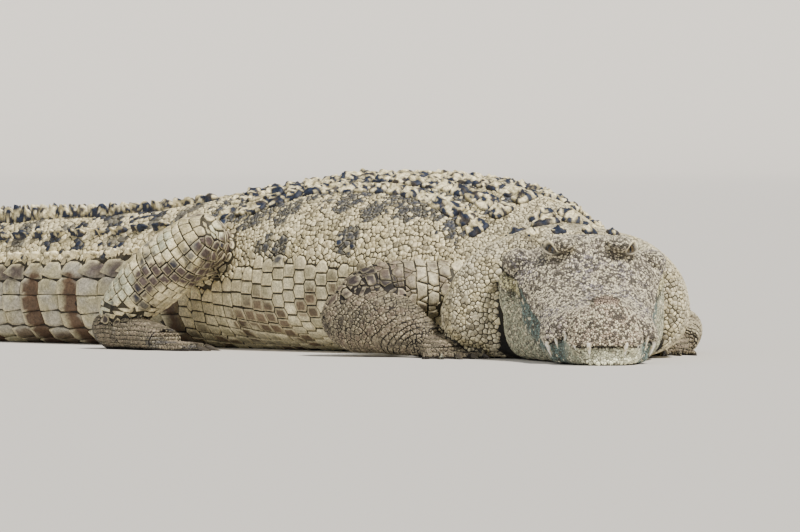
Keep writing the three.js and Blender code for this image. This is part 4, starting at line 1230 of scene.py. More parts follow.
colour_points(smooth(plates.data), np.vstack(plate_tones))
plates.data.materials.append(leather("plate_horn", 0.6, 300, 0.6, 0.35))
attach(plates, "root")

# ------------ the tail crest
# Upright blades of rough horn that lean back, one to a ring: two rows that draw together
# and become one, with a row of dark keels and a row of cream keels below on each side.

# Places of the blades: distance along, to the left, length, height and kind of row.
CREST_JOIN = 2800
blade_rows = []
for start, end in zip(WHORL_EDGES[:-1], WHORL_EDGES[1:]):
    middle, length = (start + end) / 2, end - start
    progress = (middle - WHORL_EDGES[0]) / (CREST_JOIN - WHORL_EDGES[0])
    if middle < CREST_JOIN:
        wide = float(body_half_width(middle))
        for hand in (1, -1):
            blade_rows += [(middle, hand * (42 - 33 * progress), length * 1.05,
                            13 + 27 * progress ** 1.2, 0),
                           (middle + 14, hand * wide * 0.62, length * 0.72, 14 + 3 * progress, 1),
                           (middle + 4, hand * wide * 0.84, length * 0.66, 10 + 2 * progress, 2)]
    else:
        rest = (middle - CREST_JOIN) / (TOTAL_LENGTH - CREST_JOIN)
        blade_rows.append((middle, 0, length, 54 - 42 * rest, 0))
lengthwise = np.linspace(0.5, -0.52, 20)
rearward_share = (0.5 - lengthwise) / 1.02
blade_top = fade(rearward_share, 0, 0.13) * fade(rearward_share, 1, 0.87) * (
    0.82 + 0.18 * rearward_share - 0.2 * np.cos(2 * math.pi * (2 * rearward_share - 0.1)))
climb = np.array([0, 0.22, 0.44, 0.64, 0.8, 0.92, 1.0, 0.92, 0.8, 0.64, 0.44, 0.22, 0, 0])
flank_side = np.array([1, 1, 1, 1, 1, 1, 0, -1, -1, -1, -1, -1, -1, 0])
ROWS, ROUND = len(lengthwise), len(climb)
blade_corners, blade_faces, blade_tones = [], [], []
for blade_along, blade_side, length, height, kind in blade_rows:
    at, forward, left, outward = back_frame(blade_along, blade_side)
    thick = (11 + height * 0.14, 10, 10)[kind]
    rise = -9 + (blade_top[:, None] * height + 9) * climb[None, :]
    slim = (1 - climb) ** 0.7 * 0.92 + 0.08
    breadth = thick * slim[None, :] * flank_side[None, :] \
        * (0.35 + 0.65 * np.sin(np.linspace(0.25, math.pi - 0.12, ROWS)))[:, None]
    rings = at + forward * (lengthwise * length * MM)[:, None, None] \
        + left * (breadth * MM)[..., None] + outward * (rise * MM)[..., None]
    flat = rings.reshape(-1, 3)
    sway = cloud(flat, 0.012, 41).reshape(ROWS, ROUND) - 0.5
    knock = 0.25 - np.abs(cloud(flat, 0.01, 44).reshape(ROWS, ROUND) - 0.5)
    rings = rings + left * (sway * 9 * MM)[..., None] \
        + outward * (knock * 0.5 * height * climb * MM)[..., None]
    corners, faces = tube(rings)
    base = sum(len(c) for c in blade_corners)
    blade_faces += [[k + base for k in face] for face in faces]
    blade_corners.append(corners)
    lift = np.append(np.repeat(blade_top, ROUND) * np.tile(climb, ROWS), [0, 0])
    # Higher up a blade the horn is painted paler: wear, and a painted highlight on the top.
    flaking_and_highlight = cloud(corners, 0.0075, 42) + 0.5 * cloud(corners, 0.02, 43) + 0.1 * lift \
        + (-0.08, -0.16, 0.3)[kind]
    tones = weathered_and_highlit(0.7 * fade(cloud(corners, 0.012, 45), 0.5, 0.75), flaking_and_highlight, (0.86, 0.96))
    # Painted shade low on each blade, where it stands in the skin.
    blade_tones.append(blend_paint(tones, CRACK_SHADE, 0.75 * fade(lift, 0.16, 0.02)))
crest = mesh_object("tail_crest", np.vstack(blade_corners), blade_faces)
colour_points(smooth(crest.data), np.vstack(blade_tones))
crest.data.materials.append(leather("crest_horn", 0.6, 280, 0.5, 0.3))
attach(crest, "root")

# ------------ the coat of scales
# Horny scales stand edge to edge over the hide, and the hide shows in the cracks, painted near
# black as shade: small flakes on the back and head, big squares in rows low on the flanks, tall
# ones in rings round the tail and bands across the legs. Each fills its share of room in the coat.

seeded = np.random.default_rng(12)
hide_triangles = np.empty(len(hide.data.loops), np.int32)
hide.data.loops.foreach_get("vertex_index", hide_triangles)
hide_triangles = hide_triangles.reshape(-1, 3)
hide_normals = vectors_of(hide.data.vertex_normals, "vector")
hide_tree = BVHTree.FromPolygons(hide_points.tolist(), hide_triangles.tolist())


def on_hide(points):
    """Nearest places of the hide, its normals there and the distances, for many points."""
    spots, faces, gaps = np.empty((len(points), 3)), np.empty(len(points), int), \
        np.empty(len(points))
    for k, point in enumerate(points.tolist()):
        spot, _, faces[k], gaps[k] = hide_tree.find_nearest(point)
        spots[k] = spot
    return spots, unit(hide_normals[hide_triangles[faces]].mean(1)), gaps


flank_start = profile((860, 430), (1000, 395), (1350, 372), (1500, 345), (1750, 320), (1834, 300))
FLANK_STEP, FLANK_WIDTH, FLANK_PITCH = 41, 28, 35.0
TAIL_PLATE, PLATES_FROM = 37, 170
SHOULDER_WIDTH, THIGH_WIDTH, SHANK_WIDTH = 42, 27, 26
SHOULDER_PITCH = (SHOULDER_STEP + SHOULDER_WIDTH) / 2
HEAD_END, NECK_END, TAIL_FROM = 521, 860, 1834
EYE_CLEAR = 1.25


def girth_point(along, girth, lean=0):
    """Points of the body at signed distances round it from the middle of the back."""
    row = int(np.clip(round((along - GIRTH_ALONG[0]) / GIRTH_STEP), 0, len(GIRTH_ALONG) - 1))
    turn = np.interp(np.abs(girth), GIRTHS[row], TURNS) * np.sign(girth)
    return body_point(along - lean + 0.0 * turn, turn)


def scale_pitch(place):
    """Usual width of a scale in millimetres at places of the hide; 0 where none grows."""
    along, girth, up = place["along"], np.abs(place["girth"]), place["up"]
    pitch = 8.8 + 2.6 * fade(girth, 200, 310)
    pitch = np.where((along > 850) & (girth > flank_start(along)), 28, pitch)
    pitch = np.where(along < NECK_END, 7.6 + 1.2 * fade(girth, 110, 260), pitch)
    narrowing = half_girth_at(along) / ROOT_HALF_GIRTH
    pitch = np.where(along > TAIL_FROM, 12 * np.minimum(1, narrowing), pitch)
    pitch = np.where((along > TAIL_FROM) & (girth > (PLATES_FROM - 3) * narrowing), 0, pitch)
    head = 4.7 + 0.7 * fade(up - mouth_height(along), 2, -4)
    pitch = np.where(along < HEAD_END, head, pitch)
    stage, hind = STAGE_OF[place["which"]], LIMB_OF[place["which"]] > 1
    on_limb = np.where(stage == 2, 6.8, np.where(hind, 17, np.where(stage == 1, 7.6, 15)))
    pitch = np.where(place["which"] >= 0, on_limb, pitch)
    pitch = np.where(jaw_groove(along, place["side"], up) > 0.5, 0, pitch)
    for hand in (1, -1):
        opening, away, _ = eye_opening(place["points"], hand)
        pitch = np.where((opening < EYE_CLEAR) & (away < 0.026), 0, pitch)
    off_lip = up - mouth_height(along)
    pitch = np.where((along < 480) & (np.abs(off_lip + 1) < 1.4), 0, pitch)
    return np.where(up < 4, 0, pitch)


# Large scales first: rows up the flanks, rings of plates round the tail, bands on the legs.
rows, row_pitch = [], []
for number, row_along in enumerate(np.arange(872, 1822, FLANK_STEP)):
    half_girth = half_girth_at(row_along)
    first = float(flank_start(row_along)) + (number % 2) * FLANK_WIDTH / 2
    girths = np.arange(first, half_girth, FLANK_WIDTH)
    for hand in (1, -1):
        wander = seeded.uniform(-5, 5, len(girths))
        rows.append(girth_point(row_along + seeded.uniform(-3, 3), hand * (girths + wander)))
        row_pitch.append(np.full(len(girths), FLANK_PITCH))
for start, end in zip(WHORL_EDGES[:-1], WHORL_EDGES[1:]):
    middle = (start + end) / 2
    half_girth = half_girth_at(middle)
    tall = TAIL_PLATE * half_girth / ROOT_HALF_GIRTH
    girths = np.arange(PLATES_FROM * half_girth / ROOT_HALF_GIRTH + tall * 0.5, half_girth, tall)
    for hand in (1, -1):
        girths = girths + seeded.uniform(-1.8, 1.8, len(girths))
        rows.append(girth_point(middle, hand * girths, whorl_lean(middle, girths)))
        row_pitch.append(np.full(len(girths), 0.5 * (end - start + tall)))
for axis in limb_axes:
    hind = axis["limb"] > 1
    if axis["stage"] == 2 or (axis["stage"] == 1 and not hind):
        continue
    step, wide = (SHOULDER_STEP, SHOULDER_WIDTH) if not hind else \
        ((THIGH_STEP, THIGH_WIDTH) if axis["stage"] == 0 else (SHANK_STEP, SHANK_WIDTH))
    for number, travel in enumerate(np.arange(step / 2, axis["travel"][-1] / MM, step)):
        at = int(np.argmin(np.abs(axis["travel"] / MM - travel)))
        walk = 2 * math.pi * np.sqrt((axis["breadth"][at] ** 2 + axis["depth"][at] ** 2) / 2) / MM
        count = max(6, int(round(walk / wide)))
        turns = (np.arange(count) + 0.5 * (number % 2)) * 2 * math.pi / count
        turns = turns + seeded.uniform(-0.06, 0.06, count)
        rows.append(limb_surface(axis, np.full(count, at), turns))
        row_pitch.append(np.full(count, (step + wide) / 2))
rows, row_pitch = np.vstack(rows), np.concatenate(row_pitch)
spots, spot_normals, gaps = on_hide(rows)
kept = (gaps < 0.012) & (spots[:, 2] > 0.004)
row_spots, row_normals, row_pitch = spots[kept], spot_normals[kept], row_pitch[kept]

# Small scales next: darts thrown evenly over the rest, about six for each that can stay.
DARTS_EACH = 6
corner_pitch = scale_pitch(hide_place)
triangle_pitch = corner_pitch[hide_triangles].mean(1)
triangle_pitch = np.where(corner_pitch[hide_triangles].min(1) > 0, triangle_pitch, 0)
edge_one = hide_points[hide_triangles[:, 1]] - hide_points[hide_triangles[:, 0]]
edge_two = hide_points[hide_triangles[:, 2]] - hide_points[hide_triangles[:, 0]]
areas = np.linalg.norm(np.cross(edge_one, edge_two), axis=1) / 2 / MM ** 2
weight = np.where(triangle_pitch > 0, areas / np.maximum(triangle_pitch, 1) ** 2, 0)
dart_count = int(weight.sum() * DARTS_EACH)
thrown = seeded.choice(len(weight), dart_count, p=weight / weight.sum())
u, v = seeded.uniform(size=(2, dart_count, 1))
u, v = np.where(u + v > 1, 1 - u, u), np.where(u + v > 1, 1 - v, v)
corner = hide_triangles[thrown]
dart_spots = hide_points[corner[:, 0]] + u * edge_one[thrown] + v * edge_two[thrown]
dart_normals = unit((1 - u - v) * hide_normals[corner[:, 0]] + u * hide_normals[corner[:, 1]]
                    + v * hide_normals[corner[:, 2]])
dart_pitch = triangle_pitch[thrown] * seeded.uniform(0.72, 1.28, dart_count)
order = np.argsort(-dart_pitch * (seeded.uniform(size=dart_count) < 0.12))
spots = np.vstack([row_spots, dart_spots[order]])
spot_normals = np.vstack([row_normals, dart_normals[order]])
pitch = np.concatenate([row_pitch, dart_pitch[order]])
in_rows = np.arange(len(spots)) < len(row_spots)


def finder_of(points):
    tree = KDTree(len(points))
    for k, point in enumerate(points.tolist()):
        tree.insert(point, k)
    tree.balance()
    return tree


# The first come keep their room: a later scale nearer than a share of their mean pitch goes.
finder = finder_of(spots)
on_shoulder = np.abs(pitch - SHOULDER_PITCH) < 0.1
alive = np.ones(len(spots), bool)
for k in range(len(spots)):
    if not alive[k]:
        continue
    for _, other, away in finder.find_range(spots[k], pitch[k] * MM):
        if other > k and alive[other]:
            share = 0.5 if in_rows[other] else (0.8 if in_rows[k] else 0.72)
            share = 0.58 if on_shoulder[k] and not in_rows[other] else share
            if away < share * 0.5 * (pitch[k] + pitch[other]) * MM:
                alive[other] = False
spots, spot_normals, pitch, in_rows = (values[alive] for values in
                                       (spots, spot_normals, pitch, in_rows))
scale_place = read_places(spots)
along, girth, side = scale_place["along"], scale_place["girth"], scale_place["side"]
covered = np.zeros(len(spots), bool)
for row_along, row_side, size in plate_rows:
    close = (np.abs(along - row_along) < 0.38 * SCUTE_LENGTH * size) \
        & (np.abs(side - row_side - body_shift(along)) < 0.38 * SCUTE_WIDTH * size)
    covered |= close & (np.abs(girth) < 260)
kept = ~covered
spots, spot_normals, pitch, in_rows = (values[kept] for values in
                                       (spots, spot_normals, pitch, in_rows))
scale_place = {key: value[kept] for key, value in scale_place.items()}
along, girth, up = scale_place["along"], scale_place["girth"], scale_place["up"]
which, travel, limb_turn = scale_place["which"], scale_place["travel"], scale_place["limb_turn"]

course = np.radians(spine_heading(along))
rearward = np.stack([-np.cos(course), -np.sin(course), 0 * course], -1)
for number, axis in enumerate(limb_axes):
    on_axis = which == number
    at = np.searchsorted(axis["travel"] / MM, travel[on_axis])
    rearward[on_axis] = axis["course"][np.clip(at, 0, LIMB_SAMPLES - 1)]
rearward = unit(rearward - spot_normals * (rearward * spot_normals).sum(-1, keepdims=True))
sideward = np.cross(spot_normals, rearward)

finder = finder_of(spots)
NEAR = 15
near = np.array([[found[1] for found in finder.find_n(spot, NEAR + 1)][1:]
                 for spot in spots.tolist()])

# Crowds: scales of one crowd lie close together, and dark cracks part the crowds.
stage, limb = STAGE_OF[which], LIMB_OF[which]
on_body = which < 0
on_head, below_lip = on_body & (along < HEAD_END), up < mouth_height(along)
on_skull, on_jaw = on_head & ~below_lip, on_head & below_lip
on_neck = on_body & (along >= HEAD_END) & (along < NECK_END)
on_tail = on_body & (along > TAIL_FROM - 4)
on_trunk = on_body & (along >= NECK_END) & ~on_tail
on_low = on_trunk & (np.abs(girth) > flank_start(along) - 12)
on_upper = on_trunk & ~on_low
hind_leg, forearm = (limb > 1) & (stage < 2), (limb >= 0) & (limb < 2) & (stage == 1)
upper_arm, foot = (limb >= 0) & (limb < 2) & (stage == 0), (limb >= 0) & (stage == 2)
plated = on_tail & in_rows
crowd_size = np.where(on_head, 10, np.where(on_neck, 15, np.where(on_upper, 24, 0)))
crowd_size = np.where(on_tail & ~plated, 26, np.where(forearm, 19, crowd_size))
centres, taken = [], np.zeros(len(spots), bool)
for k in seeded.permutation(len(spots)):
    if crowd_size[k] and not taken[k]:
        centres.append(k)
        for _, other, away in finder.find_range(spots[k], crowd_size[k] * MM):
            taken[other] = True
centre_finder = finder_of(spots[centres])
crowd = np.arange(len(spots))
for k in np.nonzero(crowd_size)[0]:
    crowd[k] = centres[centre_finder.find(spots[k])[1]]
band_number = band_place(scale_place)
ring_along = along + np.where(on_tail, whorl_lean(along, girth), 0)
band = np.where(on_tail, np.searchsorted(WHORL_EDGES, ring_along), np.floor(band_number))
band = band.astype(int)
folded = hind_leg | forearm | upper_arm | foot
# On the legs the bands between the folds are the crowds; high numbers keep them apart.
elbow = forearm & (band >= ARCS_FINE)
crowd = np.where(elbow, 10 ** 8 + crowd * 100 + band,
                 np.where(folded | plated, 10 ** 7 + (which + 2) * 1000 + band, crowd))


def by_place(head, neck, upper, low, plate, thigh, fore, shoulder, paw, other):
    """One number for every scale by the part of the animal that it grows on."""
    return np.select(
        [on_head, on_neck, on_upper, on_low, plated, hind_leg, forearm, upper_arm, foot],
        [head, neck, upper, low, plate, thigh, fore, shoulder, paw], other)


# Half gaps in a crowd and between crowds, how much thicker the rear is than the front, pale
# rims (worn edges with a painted highlight), thickness, tone of the inner seams (painted shade),
# longest reach in half pitches, flatness of the top.
fine_gap = by_place(0.05, 0.05, 0.05, 0.85, 0.15, 0.4, 0.03, 0.4, 0.04, 0.06)
wide_gap = by_place(0.42, 0.9, 1.4, 1.8, 1.4, 1.2, 1.6, 1.5, 0.9, 0.8)
chin = on_jaw & (along < 110)
wide_gap = np.where(chin, 0.2, np.where(elbow, 0.9, wide_gap))
lean = by_place(0.2, 0.3, 0.4, 0.3, 0.7, 0.35, 0.3, 0.4, 0.2, 0.3)
rim_wear_and_highlight = by_place(0.15, 0.25, 0.35, 0.65, 0.9, 0.6, 0.25, 0.4, 0.3, 0.1)
thickness = by_place(1.0, 1.2, 1.5, 2.8, 3.2, 2.2, 1.0, 2.2, 0.9, 1.2)
seam_shade = by_place(0.62, 0.7, 0.7, 0.2, 0.4, 0.3, 0.85, 0.35, 0.8, 0.6)
cap = by_place(2.2, 2.2, 2.2, 1.4, 2.4, 1.7, 2.2, 2.2, 2.2, 2.2)
flatness = by_place(0.45, 0.5, 0.5, 0.7, 0.88, 0.8, 0.6, 0.8, 0.55, 0.5)
thickness = thickness * seeded.uniform(0.6, 1.4, len(spots))
narrow_tail = half_girth_at(along) / ROOT_HALF_GIRTH
spotted = on_upper & (blotch_share(spots, along, np.abs(girth)) > 0.3)
knobby = on_upper & (seeded.uniform(size=len(spots)) < 0.12 * fade(np.abs(girth), 290, 190))
knobby |= spotted & (seeded.uniform(size=len(spots)) < 0.3)
thickness = np.where(knobby, 0.3 * pitch, thickness)
thickness = np.where(on_tail & ~plated, 0.11 * pitch, thickness)
mound = on_upper & ~spotted & (seeded.uniform(size=len(spots)) < 0.03)



def retoned(tone, mask, colour, kept=0.0):
    """The tones with the scales in the mask taken to a colour over a share of their own."""
    return np.where(mask[:, None], kept * tone + colour, tone)


# Each scale takes the marking at its root, a little lighter or darker, and some are
# blue-black, bark brown, pale or speckled whatever the marking.
chance = seeded.uniform(size=len(spots))
vary = seeded.uniform(-1, 1, len(spots))
vary = vary * by_place(0.5, 0.34, 0.36, 0.26, 0.1, 0.28, 0.22, 0.22, 0.36, 0.26)
tone = plain_tone = markings(scale_place) * (1 + vary)[:, None]
dark_back = fade(np.abs(girth), 245, 175) * (0.06 + 0.7 * fade(cloud(spots, 0.034, 19), 0.44, 0.58))
dark_back = np.where(on_upper, dark_back, 0)
tone = retoned(tone, chance < dark_back, BLUE_BLACK * (0.8 + 1.3 * chance[:, None]))
tone = retoned(tone, spotted & (chance > 0.9), CREAM * 0.9)
tone = retoned(tone, spotted & (chance < 0.82), BLUE_BLACK * (0.6 + 0.7 * chance[:, None]))
smooth_nose = nose_disc(along, scale_place["side"], up) < 1
vary = np.where(smooth_nose, 0.2 * vary, vary)
thickness = np.where(smooth_nose, 0.35, thickness)
speckled = on_skull * np.where(smooth_nose, 0.0, 0.3) + on_jaw * np.where(chin, 0.02, 0.1)
tone = retoned(tone, chance < speckled * 1.1, 0.85 * HEAD_CREAM * 1.08, 0.15)
tone = retoned(tone, chance > 1 - speckled, 0.85 * HEAD_DARK, 0.15)
plain = (on_upper | on_neck) & ~spotted & (chance >= dark_back)
tone = retoned(tone, plain & (chance > 0.84) & (chance < 0.96), 0.7 * BARK, 0.3)
tone = retoned(tone, plain & (chance > 0.7) & (chance < 0.84), 0.8 * CREAM * 1.1, 0.2)
tail_top = on_tail & ~plated
dark_top = tail_top * (0.04 + 0.45 * fade(cloud(spots, 0.04, 54), 0.57, 0.65)
                       * fade(np.abs(girth) / narrow_tail, 155, 115))
tone = retoned(tone, chance < dark_top, BLUE_BLACK * (0.7 + chance[:, None]))
tone = retoned(tone, tail_top & (chance > 0.86), 0.7 * CREAM * 1.1, 0.3)

# Scales that are painted corner by corner, and the place of each root on the bake map.
detailed = (in_rows | on_head | forearm | foot) & np.all(tone == plain_tone, 1)
root_u = np.where(on_body, 0.02 + 0.96 * along / TOTAL_LENGTH,
                  0.02 + 0.32 * stage + 0.28 * travel / 420)
root_v = np.where(on_body, 0.36 + 0.34 * girth / 800,
                  0.74 + 0.06 * limb + 0.05 * (limb_turn / (2 * math.pi) + 0.5))


# Slopes of the band number over the skin give each limb scale the fold lines beside it.
# Outlines are first felt out along rays round the root.
RAYS = 28
NUDGE = 0.004
STEEPEST_FOLD = 250
slope_x, slope_y = np.zeros((2, len(spots)))
for slope, way in ((slope_x, rearward), (slope_y, sideward)):
    ahead, behind = (band_place(read_places(spots[folded] + sign * way[folded] * NUDGE))
                     for sign in (1, -1))
    slope[folded] = (ahead - behind) / (2 * NUDGE)
folded &= np.hypot(slope_x, slope_y) < STEEPEST_FOLD


def scale_outlines(chosen, around):
    """Each scale's room among its neighbours and folds, as so many corners round its root.

    Gives the corners' angles and reaches, and 1 for those that face another crowd and for
    those where two edges meet.
    """
    count = len(chosen)
    own, normal = spots[chosen], spot_normals[chosen]
    others = near[chosen]
    offset = spots[others] - own[:, None]
    x = (offset * rearward[chosen][:, None]).sum(-1)
    y = (offset * sideward[chosen][:, None]).sum(-1)
    own_size = pitch[chosen] * MM / 2
    square = x * x + y * y + own_size[:, None] ** 2 - (pitch[others] * MM / 2) ** 2
    agree = (spot_normals[others] * normal[:, None]).sum(-1) > 0.1
    agree &= ~folded[chosen][:, None] | (which[others] != which[chosen][:, None]) \
        | (band[others] == band[chosen][:, None])
    number = band_number[chosen]
    room = np.stack([np.floor(number) + 1 - number, number - np.floor(number)], 1)
    x = np.hstack([x, slope_x[chosen][:, None] * [1, -1]])
    y = np.hstack([y, slope_y[chosen][:, None] * [1, -1]])
    square = np.hstack([square, 2 * room])
    agree = np.hstack([agree, np.repeat(folded[chosen][:, None], 2, 1)])
    differs = np.hstack([crowd[others] != crowd[chosen][:, None], np.ones((count, 2), bool)])
    rays = np.arange(RAYS) * 2 * math.pi / RAYS + 0.0 * own_size[:, None]
    closest, reach = np.empty((count, RAYS), int), np.empty((count, RAYS))
    for k in range(RAYS):
        toward = x * math.cos(rays[0, k]) + y * math.sin(rays[0, k])
        limit = np.where((toward > 1e-6) & agree, square / np.maximum(2 * toward, 1e-9), 1)
        closest[:, k], reach[:, k] = limit.argmin(1), limit.min(1)
    pick = np.arange(count)[:, None]
    after = np.roll(closest, -1, 1)
    parted = differs[pick, closest]
    x_one, y_one, half_one = x[pick, closest], y[pick, closest], square[pick, closest] / 2
    x_two, y_two, half_two = x[pick, after], y[pick, after], square[pick, after] / 2
    across = x_one * y_two - x_two * y_one
    solid = np.where(np.abs(across) < 1e-10, 1, across)
    meet_x = (half_one * y_two - half_two * y_one) / solid
    meet_y = (x_one * half_two - x_two * half_one) / solid
    meet = np.hypot(meet_x, meet_y)
    longer = np.maximum(reach, np.roll(reach, -1, 1))
    meeting = (closest != after) & (np.abs(across) > 1e-10) & (meet < 1.5 * longer) & (longer < 0.9)
    rays = np.where(meeting, np.arctan2(meet_y, meet_x), rays)
    reach = np.where(meeting, meet, reach)
    parted = parted | (meeting & np.roll(parted, -1, 1))
    spacing, taken = np.zeros((count, RAYS)), meeting
    for _ in range(5):
        spacing = spacing + ~taken
        taken = taken | np.roll(taken, 1, 1) | np.roll(taken, -1, 1)
    rank = np.where(meeting, 10 + meet / own_size[:, None], spacing)
    best = np.sort(np.argsort(-rank, axis=1, kind="stable")[:, :around], axis=1)
    return [np.take_along_axis(values, best, 1)
            for values in (rays, reach, parted * 1.0, meeting * 1.0)]


def scale_meshes(chosen, around):
    """Corners, faces, tones and bake places of the chosen scales, with so many sides."""
    count = len(chosen)
    own, normal, own_size = spots[chosen], spot_normals[chosen], pitch[chosen] * MM / 2
    angles, reach, parted, meeting = scale_outlines(chosen, around)
    heading = rearward[chosen][:, None] * np.cos(angles)[..., None] \
        + sideward[chosen][:, None] * np.sin(angles)[..., None]
    reach = np.clip(reach, 0.3 * own_size[:, None], (cap[chosen] * own_size)[:, None])
    plate = plated[chosen][:, None]
    half_tall = np.where(plate, 0.535 * TAIL_PLATE * narrow_tail[chosen][:, None] * MM, 1)
    reach = np.minimum(reach, half_tall / np.maximum(np.abs(np.sin(angles)), 1e-3))
    gap = np.where(parted > 0, wide_gap[chosen][:, None], fine_gap[chosen][:, None])
    reach = reach - (1 + 0.15 * meeting) * gap * MM
    reach = np.maximum(reach, 0.25 * own_size[:, None])
    rim, rim_normal, _ = on_hide((own[:, None] + heading * reach[..., None]).reshape(-1, 3))
    rim, rim_normal = rim.reshape(count, around, 3), rim_normal.reshape(count, around, 3)
    for _ in range(2):
        astray = (rim_normal * normal[:, None]).sum(-1) < 0.35
        astray |= (astray.sum(1) > around // 3)[:, None]
        reach = np.where(astray, 0.5 * reach, reach)
        if astray.any():
            back_in = own[np.nonzero(astray)[0]] + heading[astray] * reach[astray][:, None]
            rim[astray], rim_normal[astray], _ = on_hide(back_in)
    slope = 1 + lean[chosen][:, None] * np.cos(angles)
    high = thickness[chosen][:, None] * MM * slope
    lift = unit(rim_normal + normal[:, None])
    inward = own[:, None] - rim
    foot_ring = rim - rim_normal * 1.6 * MM
    inset = np.minimum(0.14 * reach, (0.2 + 0.2 * parted) * MM) / np.linalg.norm(inward, axis=-1)
    shoulder = rim + inset[..., None] * inward \
        + lift * (flatness[chosen][:, None] * high)[..., None]
    peak = own + normal * (1.02 * thickness[chosen] * MM)[:, None]
    peak = peak + normal * np.where(mound[chosen], 2.2, 0.0)[:, None] * MM
    large = around > 8
    if large:
        halfway = own[:, None] + 0.6 * (rim - own[:, None])
        within, within_normal, _ = on_hide(halfway.reshape(-1, 3))
        crown = within.reshape(rim.shape) + (0.96 * high)[..., None] \
            * unit(within_normal.reshape(rim.shape) + normal[:, None])
    layers = [foot_ring, shoulder, crown] if large else [foot_ring, shoulder]
    corners = np.concatenate(layers + [peak[:, None]], 1)
    corners[..., 2] = np.maximum(corners[..., 2], 0.0004)
    per = corners.shape[1]
    own_tone = np.broadcast_to(tone[chosen][:, None], corners.shape).copy()
    fine = np.nonzero(detailed[chosen])[0]
    place = read_places(corners[fine].reshape(-1, 3))
    own_tone[fine] = markings(place).reshape(len(fine), per, 3) \
        * (1 + vary[chosen][fine])[:, None, None]
    # Pale rims: worn edges with a painted highlight, on the tail plates only toward the rear edge.
    light = rim_wear_and_highlight[chosen][:, None] * (0.4 + 0.6 * parted)
    light = np.where(plate, light * np.maximum(0, np.cos(angles)) ** 3, light)[..., None]
    ring_tone = own_tone[:, around:2 * around]
    shoulder_tone = (1 - light) * ring_tone + light * CREAM
    # Painted shade: shoulders a little darker at the seams within a crowd, and the foot of each
    # scale darkened, nearly black where a crack parts two crowds.
    shoulder_tone = np.where(parted[..., None] > 0, shoulder_tone, 0.94 * shoulder_tone)
    foot_tone = np.where(parted[..., None] > 0, CRACK_SHADE * 0.6,
                         seam_shade[chosen][:, None, None] * own_tone[:, :around])
    tones = np.concatenate([foot_tone, shoulder_tone, own_tone[:, 2 * around:]], 1)
    grain = 0.82 + 0.36 * cloud(corners.reshape(-1, 3), 0.007, 51)
    tones = tones.reshape(-1, 3) * grain[:, None]
    k = np.arange(around)
    n = (k + 1) % around
    bands = [np.stack([b * around + k, b * around + n, (b + 1) * around + n,
                       (b + 1) * around + k], -1) for b in range(len(layers) - 1)]
    last = (len(layers) - 1) * around
    tip = np.stack([last + k, last + n, np.full(around, per - 1)], -1)
    under = k[::-1][None, :]
    base = (np.arange(count) * per)[:, None, None]
    faces = [(block[None] + base).reshape(-1, block.shape[1])
             for block in (np.vstack(bands), tip, under)]
    patch = np.stack([root_u[chosen], root_v[chosen]], -1)[:, None]
    turns = k * 2 * math.pi / around
    turn = np.stack([np.cos(turns), np.sin(turns)], -1)[None]
    spread = [patch + turn * size for size in (0.0015, 0.0013, 0.0008)[:len(layers)]]
    return corners.reshape(-1, 3), faces, tones, np.concatenate(spread + [patch], 1).reshape(-1, 2)


def block_mesh(name, corners, blocks):
    """A mesh from arrays of faces, each array with one number of corners."""
    mesh = bpy.data.meshes.new(name)
    mesh.vertices.add(len(corners))
    mesh.vertices.foreach_set("co", corners.astype(np.float32).ravel())
    loops = np.concatenate([block.ravel() for block in blocks]).astype(np.int32)
    sizes = np.concatenate([np.full(len(block), block.shape[1]) for block in blocks])
    mesh.loops.add(len(loops))
    mesh.loops.foreach_set("vertex_index", loops)
    mesh.polygons.add(len(sizes))
    mesh.polygons.foreach_set("loop_start", (np.cumsum(sizes) - sizes).astype(np.int32))
    mesh.update(calc_edges=True)
    return mesh, loops


scale_leather = leather("scale_horn", 0.6, 420, 0.35, 0.26)
left_hand = girth > 0
trunk_scales = on_low | on_upper
coat_pieces = (
    ("scales_head_left", on_head & left_hand, "head_skin"),
    ("scales_head_right", on_head & ~left_hand, "head_skin"),
    ("scales_neck", on_neck, "body_skin"),
    ("scales_back", trunk_scales & (np.abs(girth) < 240), "body_skin"),
    ("scales_flank_left", trunk_scales & (np.abs(girth) >= 240) & left_hand, "body_skin"),
    ("scales_flank_right", trunk_scales & (np.abs(girth) >= 240) & ~left_hand, "body_skin"),
    ("scales_tail_left", on_tail & left_hand, "tail_skin"),
    ("scales_tail_right", on_tail & ~left_hand, "tail_skin"),
    ("scales_arm_right", limb == 0, "limb_skin"),
    ("scales_arm_left", limb == 1, "limb_skin"),
    ("scales_leg_right", limb == 2, "limb_skin"),
    ("scales_leg_left", limb == 3, "limb_skin"),
)
# Small scales have seven sides and large ones twelve: sides, least and greatest pitch.
SIDES = ((7, 0, 10.5), (8, 10.5, 14), (12, 14, 99))
for name, mask, finish in coat_pieces:
    corners, blocks, tones, patches, count = [], [], [], [], 0
    for around, low, high in SIDES:
        chosen = np.nonzero(mask & (pitch >= low) & (pitch < high))[0]
        if len(chosen) == 0:
            continue
        group = scale_meshes(chosen, around)
        corners.append(group[0])
        blocks += [block + count for block in group[1]]
        tones.append(group[2])
        patches.append(group[3])
        count += len(group[0])
    mesh, loops = block_mesh(name, np.vstack(corners), blocks)
    colour_points(smooth(mesh), np.vstack(tones))
    bake_map = mesh.uv_layers.new(name="OFBake")
    bake_map.data.foreach_set("uv", np.vstack(patches)[loops].astype(np.float32).ravel())
    scales = bpy.data.objects.new(name, mesh)
    bpy.context.scene.collection.objects.link(scales)
    mesh.materials.append(scale_leather)
    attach(scales, "root")

# ------------ the studio
# A wide pale floor that sweeps up into a far, low backdrop, so that the animal can be seen
# from every side, with broad soft lamps over it and a long lens at the animal's own height.

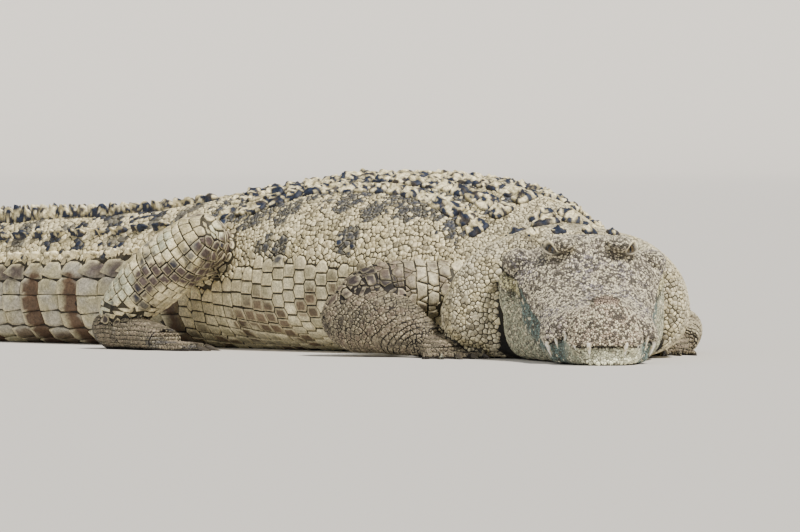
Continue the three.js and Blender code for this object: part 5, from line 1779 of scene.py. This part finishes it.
FLOOR_REACH, SWEEP_START, SWEEP_RADIUS = 60.0, 42.0, 6.0
sweep = [(-FLOOR_REACH, 0.0), (SWEEP_START, 0.0)]
sweep += [(SWEEP_START + SWEEP_RADIUS * math.sin(a), SWEEP_RADIUS * (1 - math.cos(a)))
          for a in np.linspace(0.08, 1.5, 20)]
LENS_TURN = math.radians(45)
LENS_TILT = math.radians(1.6)
LENS_AWAY = 20.0
right = np.array([math.cos(LENS_TURN), math.sin(LENS_TURN), 0])
view = np.array([-math.sin(LENS_TURN) * math.cos(LENS_TILT),
                 math.cos(LENS_TURN) * math.cos(LENS_TILT), -math.sin(LENS_TILT)])
lens_up = np.cross(right, view)
back = np.array([view[0], view[1], 0]) / math.cos(LENS_TILT)
floor_corners = [right * x + back * y + np.array([0, 0, z])
                 for y, z in sweep for x in (-FLOOR_REACH, FLOOR_REACH)]
floor_faces = [[2 * i, 2 * i + 1, 2 * i + 3, 2 * i + 2] for i in range(len(sweep) - 1)]
floor = mesh_object("studio_floor", np.array(floor_corners), floor_faces)
smooth(floor.data)
paper = bpy.data.materials.new("studio_paper")
paper.use_nodes = True
paper_inputs = paper.node_tree.nodes["Principled BSDF"].inputs
paper_inputs["Base Color"].default_value = (0.72, 0.69, 0.64, 1)
paper_inputs["Roughness"].default_value = 0.9
floor.data.materials.append(paper)


def lamp(name, toward, softness, strength, tint):
    """A broad distant lamp; toward is the way from the animal to the lamp."""
    light = bpy.data.lights.new(name, "SUN")
    light.angle = math.radians(softness)
    light.energy = strength
    light.color = tint
    thing = bpy.data.objects.new(name, light)
    thing.rotation_euler = Vector(toward).to_track_quat("Z", "Y").to_euler()
    bpy.context.scene.collection.objects.link(thing)


up_axis = np.array([0, 0, 1.0])
lamp("key_lamp", right * 0.5 - back * 0.55 + up_axis * 1.0, 8, 4.9, (1.0, 0.96, 0.9))
lamp("fill_lamp", -right * 0.6 - back * 1.0 + up_axis * 0.6, 50, 0.7, (0.95, 0.97, 1.0))
world = bpy.data.worlds.new("studio_air")
world.use_nodes = True
air_inputs = world.node_tree.nodes["Background"].inputs
air_inputs["Color"].default_value = (0.93, 0.94, 0.96, 1)
air_inputs["Strength"].default_value = 0.32
bpy.context.scene.world = world

# The lens looks a little to the left of the snout and over it, which frames the animal.
AIM_LEFT, AIM_UP = 208, 100
lens = bpy.data.cameras.new("camera")
lens.lens = 450
lens.sensor_width = 36
lens.clip_end = 100
camera = bpy.data.objects.new("camera", lens)
snout = stand(0.0, 0.0, 0.0)
camera.location = snout - view * LENS_AWAY
aim = Vector(view * 10000 - right * AIM_LEFT + lens_up * AIM_UP)
camera.rotation_euler = aim.to_track_quat("-Z", "Y").to_euler()
bpy.context.scene.collection.objects.link(camera)
bpy.context.scene.camera = camera
